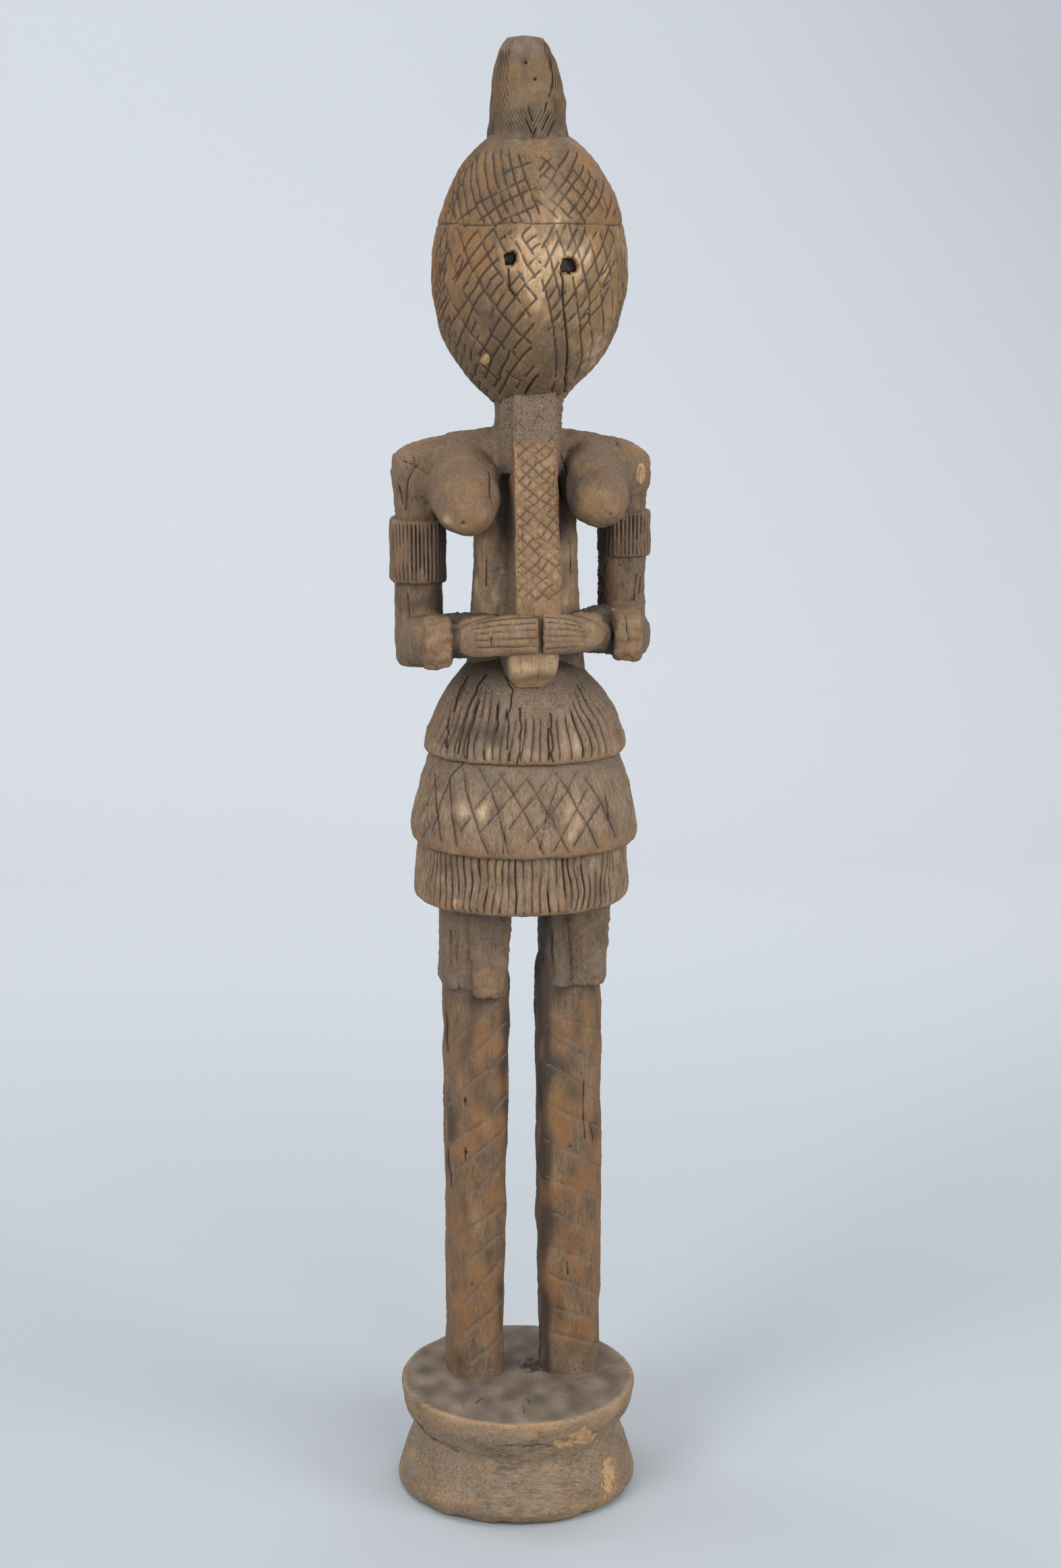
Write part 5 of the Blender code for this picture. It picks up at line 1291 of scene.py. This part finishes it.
baseLook = {
    "rows": 140, "columns": 300, "topBack": 2.2, "hollow": (789, 2022, 17, 9),
    "outline": [  # height, radius
        (0.0, 2.0), (0.0, 30.0), (0.0, 56.5), (0.8, 59.2), (2.6, 60.9), (6.4, 60.7), (10.2, 59.6),
        (14.0, 58.4), (17.8, 57.1), (21.6, 55.8),
        (25.4, 54.5), (29.0, 53.3), (32.0, 52.8), (34.5, 53.3), (38.0, 55.2), (41.5, 57.0), (45.0, 58.4),
        (48.5, 59.3),
        (51.5, 59.8), (54.0, 59.9), (55.4, 59.2), (56.0, 57.6), (56.0, 40.0), (56.0, 20.0), (56.0, 2.0)],
    # places and half-sizes in the picture
    "chips": [(866, 2130, 18, 11), (902, 2188, 9, 26), (838, 2140, 14, 6), (882, 2243, 12, 6)],
    "cracks": "614,2104 632,2126 654,2142 679,2154; 750,2143 784,2145 818,2143; 774,2081 778,2091; "
              "685,2077 688,2084; 782,2071 786,2077; 705,2078 715,2070",
    "warmPatches": [(690, 2103, 60, 12), (790, 2112, 70, 9), (880, 2096, 40, 10), (840, 2140, 40, 8),
                    (905, 2180, 14, 40),
                    (880, 2235, 50, 14), (640, 2230, 60, 16), (606, 2090, 12, 40)],
    "wood": {"middle": (146, 123, 97), "light": (178, 151, 118), "warm": (160, 120, 76), "grey": (134, 122, 109),
             "greyShare": 0.6, "grain": (0.22, 0.9, 0.9), "cloud": (0.7, 0.7, 1.3)},
}


def makeBase():
    # A spool turned round an upright line, roughened by the adze and ragged at its foot
    look = baseLook
    turn = turnsRound(look["columns"], 0.25)
    z, radius = columnsOf(evenRows(look["outline"], look["rows"]))
    side = np.stack([np.cos(turn) + 0 * z, np.sin(turn) + 0 * z, 0 * turn + 0 * z], axis=-1)
    shift = 0.8 * np.sin(held((z - 40) / 20) * np.pi)
    points = side * radius[..., None] + np.stack([shift + 0 * turn, 0 * turn + 0 * z, z + 0 * turn], axis=-1)
    points[..., 1] *= 1 - 0.05 * smoothStep(z, 8, 0)
    points[..., 1] += look["topBack"] * smoothStep(z, 34, 50) * held(np.sin(turn)) * radius / 60
    normal = gridNormals(points)
    px, py, facing = view(points, normal, -0.1, 0.2)
    onTop = smoothStep(z, 55.2, 55.9) * smoothStep(radius, 59.0, 57.0)
    under = smoothStep(z, 0.6, 0.0) * smoothStep(radius, 58.0, 55.5)
    chip = np.zeros_like(px)
    for patch in look["chips"]:
        torn = 0.28 * ripple(points, 5.0, patch[0])
        chip = np.maximum(chip, oval(px, py, patch, 1.1, 0.8, torn) * facing * (1 - onTop))
    inSight = np.maximum(facing, onTop)
    crack = tracedCuts(px, py + 0.8 * ripple(points, 9.0, 130), inSight, look["cracks"], 0.35) + 0.1
    hollow = oval(px, py, look["hollow"], 1.2, 0.3, 0.25 * ripple(points, 4.0, 129)) * onTop
    lowEdge, topEdge = smoothStep(z, 6.0, 0.5) * (1 - under), smoothStep(z, 46.0, 52.0) * (1 - onTop)
    ragged = -np.clip(0.5 * ripple(points, 13.0, 133) + 0.3 * ripple(points, 4.5, 134), 0, 1.6)
    relief = 0.20 * ripple(points * np.array([0.6, 0.6, 1.6]), 14.0, 131) + 0.06 * ripple(points, 3.5, 132)
    relief = relief + (lowEdge + 0.2 * topEdge) * ragged - 0.45 * chip + notch(crack, 0.9, 0.9)
    level = 0.12 * ripple(points, 16.0, 135) - 0.25 + notch(crack, 0.9, 0.7) - 1.6 * hollow
    relief = relief * (1 - under) * (1 - onTop) + onTop * level
    points = points + normal * relief[..., None]
    patch = glows(px, py, look["warmPatches"]) * facing
    field = ripple(points * np.array([0.7, 0.7, 1.4]), 14.0, 137)
    values = {
        "crack": crack, "chip": 0.85 * chip,
        "wearAndSheen": 0.30 + 0.08 * field + 0.14 * topEdge - 0.15 * onTop,
        "warmth": held(0.55 * patch + 0.25 * (topEdge + lowEdge) * (1 - onTop) + 0.15 * field) * (1 - onTop),
        "stainAndShade": 0.52 * onTop + 0.9 * hollow + 0.10 * ripple(points, 15.0, 138),
        "crust": 0.10 + 0.08 * ripple(points, 8.0, 136) + 0.12 * onTop,
        "dust": 0.45 * onTop + 0.16 + 0.1 * ripple(points, 10.0, 139),
    }
    finish(gridPiece("base", points, values), oldWood("base_wood", **look["wood"]))


print("head and crest")
makeHead()
makeCrest()
print("bust and beard board")
makeBust()
makeBoard()
print("arms")
for side in ("right", "left"):
    makeArm(side)
    makeArmlet(side)
print("skirt")
makeUpperTier()
makeMiddleTier()
makeHemTier()
print("legs and base")
for side in ("right", "left"):
    makeLeg(side)
    makeThigh(side)
    makeFlap(side)
makeBase()


studioLook = {
    "floor": (177, 183, 188), "wall": (207, 211, 216), "depth": 2.2, "wide": 12.0, "tall": 3.2, "bendRadius": 0.9,
    "sky": (229, 231, 235), "skyStrength": 0.45,
    "lights": [  # name, power, size, place, aim
        ("soft_left", 24.0, (0.9, 1.2), (-1.35, -1.15, 1.35), (0, 0, 0.38)),
        ("soft_right", 18.0, (0.9, 1.2), (1.45, -1.0, 1.15), (0, 0, 0.38)),
        ("soft_front", 9.0, (0.8, 0.8), (0.45, -1.6, 1.0), (0, 0, 0.36)),
        ("soft_top", 12.0, (1.6, 1.6), (0.0, 0.3, 2.1), (0, 0.1, 0.2)),
        ("soft_back", 5.0, (0.9, 0.9), (1.1, 1.5, 1.5), (0, 0, 0.36)),
        ("wall_wash", 13.0, (1.2, 0.6), (-0.9, 0.6, 2.0), (-0.5, 2.2, 0.7)),
    ],
}


def makeBackdrop():
    # One pale sheet: level floor, then a quarter circle, then an upright wall
    look = studioLook
    bend = np.linspace(0, np.pi / 2, 24)
    radius, back = look["bendRadius"], look["depth"]
    y = np.concatenate([[-4.0, back - radius], back - radius + radius * np.sin(bend), [back]])
    z = np.concatenate([[0.0, 0.0], radius - radius * np.cos(bend), [look["tall"]]])
    x = np.linspace(-look["wide"] / 2, look["wide"] / 2, 3)
    places = np.stack([*np.meshgrid(x, y, indexing="ij"), np.broadcast_to(z, (len(x), len(z)))], axis=-1)
    index = np.arange(len(x) * len(y)).reshape(len(x), len(y))
    faces = np.stack([index[:-1, :-1], index[1:, :-1], index[1:, 1:], index[:-1, 1:]], axis=-1).reshape(-1, 4)
    mesh = bpy.data.meshes.new("backdrop")
    mesh.from_pydata(places.reshape(-1, 3).tolist(), [], faces.tolist())
    mesh.shade_smooth()
    sheet = Sheet("backdrop_paper")
    spot = sheet.node("ShaderNodeTexCoord", {}, {}, "Object")
    away = sheet.node("ShaderNodeSeparateXYZ", {}, {0: spot}, 1)
    colour = sheet.blend(away.step(0.1, 1.3), tone(*look["floor"]), tone(*look["wall"]))
    sheet.fill(sheet.shader, {"Base Color": colour, "Roughness": 0.9, "Specular IOR Level": 0.1})
    mesh.materials.append(sheet.material)
    piece = bpy.data.objects.new("backdrop", mesh)
    bpy.context.scene.collection.objects.link(piece)


def makeLight(name, power, size, place, aim):
    # A soft rectangle of light, turned so that it shines from its place to its aim
    lamp = bpy.data.lights.new(name, "AREA")
    lamp.energy, lamp.shape, lamp.size, lamp.size_y = power, "RECTANGLE", size[0], size[1]
    holder = bpy.data.objects.new(name, lamp)
    bpy.context.scene.collection.objects.link(holder)
    holder.location = place
    x, y, z = np.array(place) - np.array(aim)
    holder.rotation_euler = (math.atan2(math.hypot(x, y), z), 0.0, math.atan2(y, x) + math.pi / 2)


def makeCamera():
    # The camera at the place worked out from the picture, upright and looking down by the dip
    camera = bpy.data.cameras.new("camera")
    camera.lens, camera.sensor_fit, camera.sensor_height = shot["lens"], "VERTICAL", shot["filmHeight"]
    camera.clip_start, camera.clip_end = 0.05, 20.0
    holder = bpy.data.objects.new("camera", camera)
    bpy.context.scene.collection.objects.link(holder)
    holder.location = shotEye * 0.001
    holder.rotation_euler = (math.pi / 2 - shotDip, 0.0, shotTurn)
    bpy.context.scene.camera = holder


print("studio")
makeBackdrop()
for light in studioLook["lights"]:
    makeLight(*light)
makeCamera()
world = bpy.data.worlds.new("studio")
world.use_nodes = True
world.node_tree.nodes["Background"].inputs["Color"].default_value = tone(*studioLook["sky"])
world.node_tree.nodes["Background"].inputs["Strength"].default_value = studioLook["skyStrength"]
bpy.context.scene.world = world
bpy.context.scene.view_settings.view_transform = "Standard"
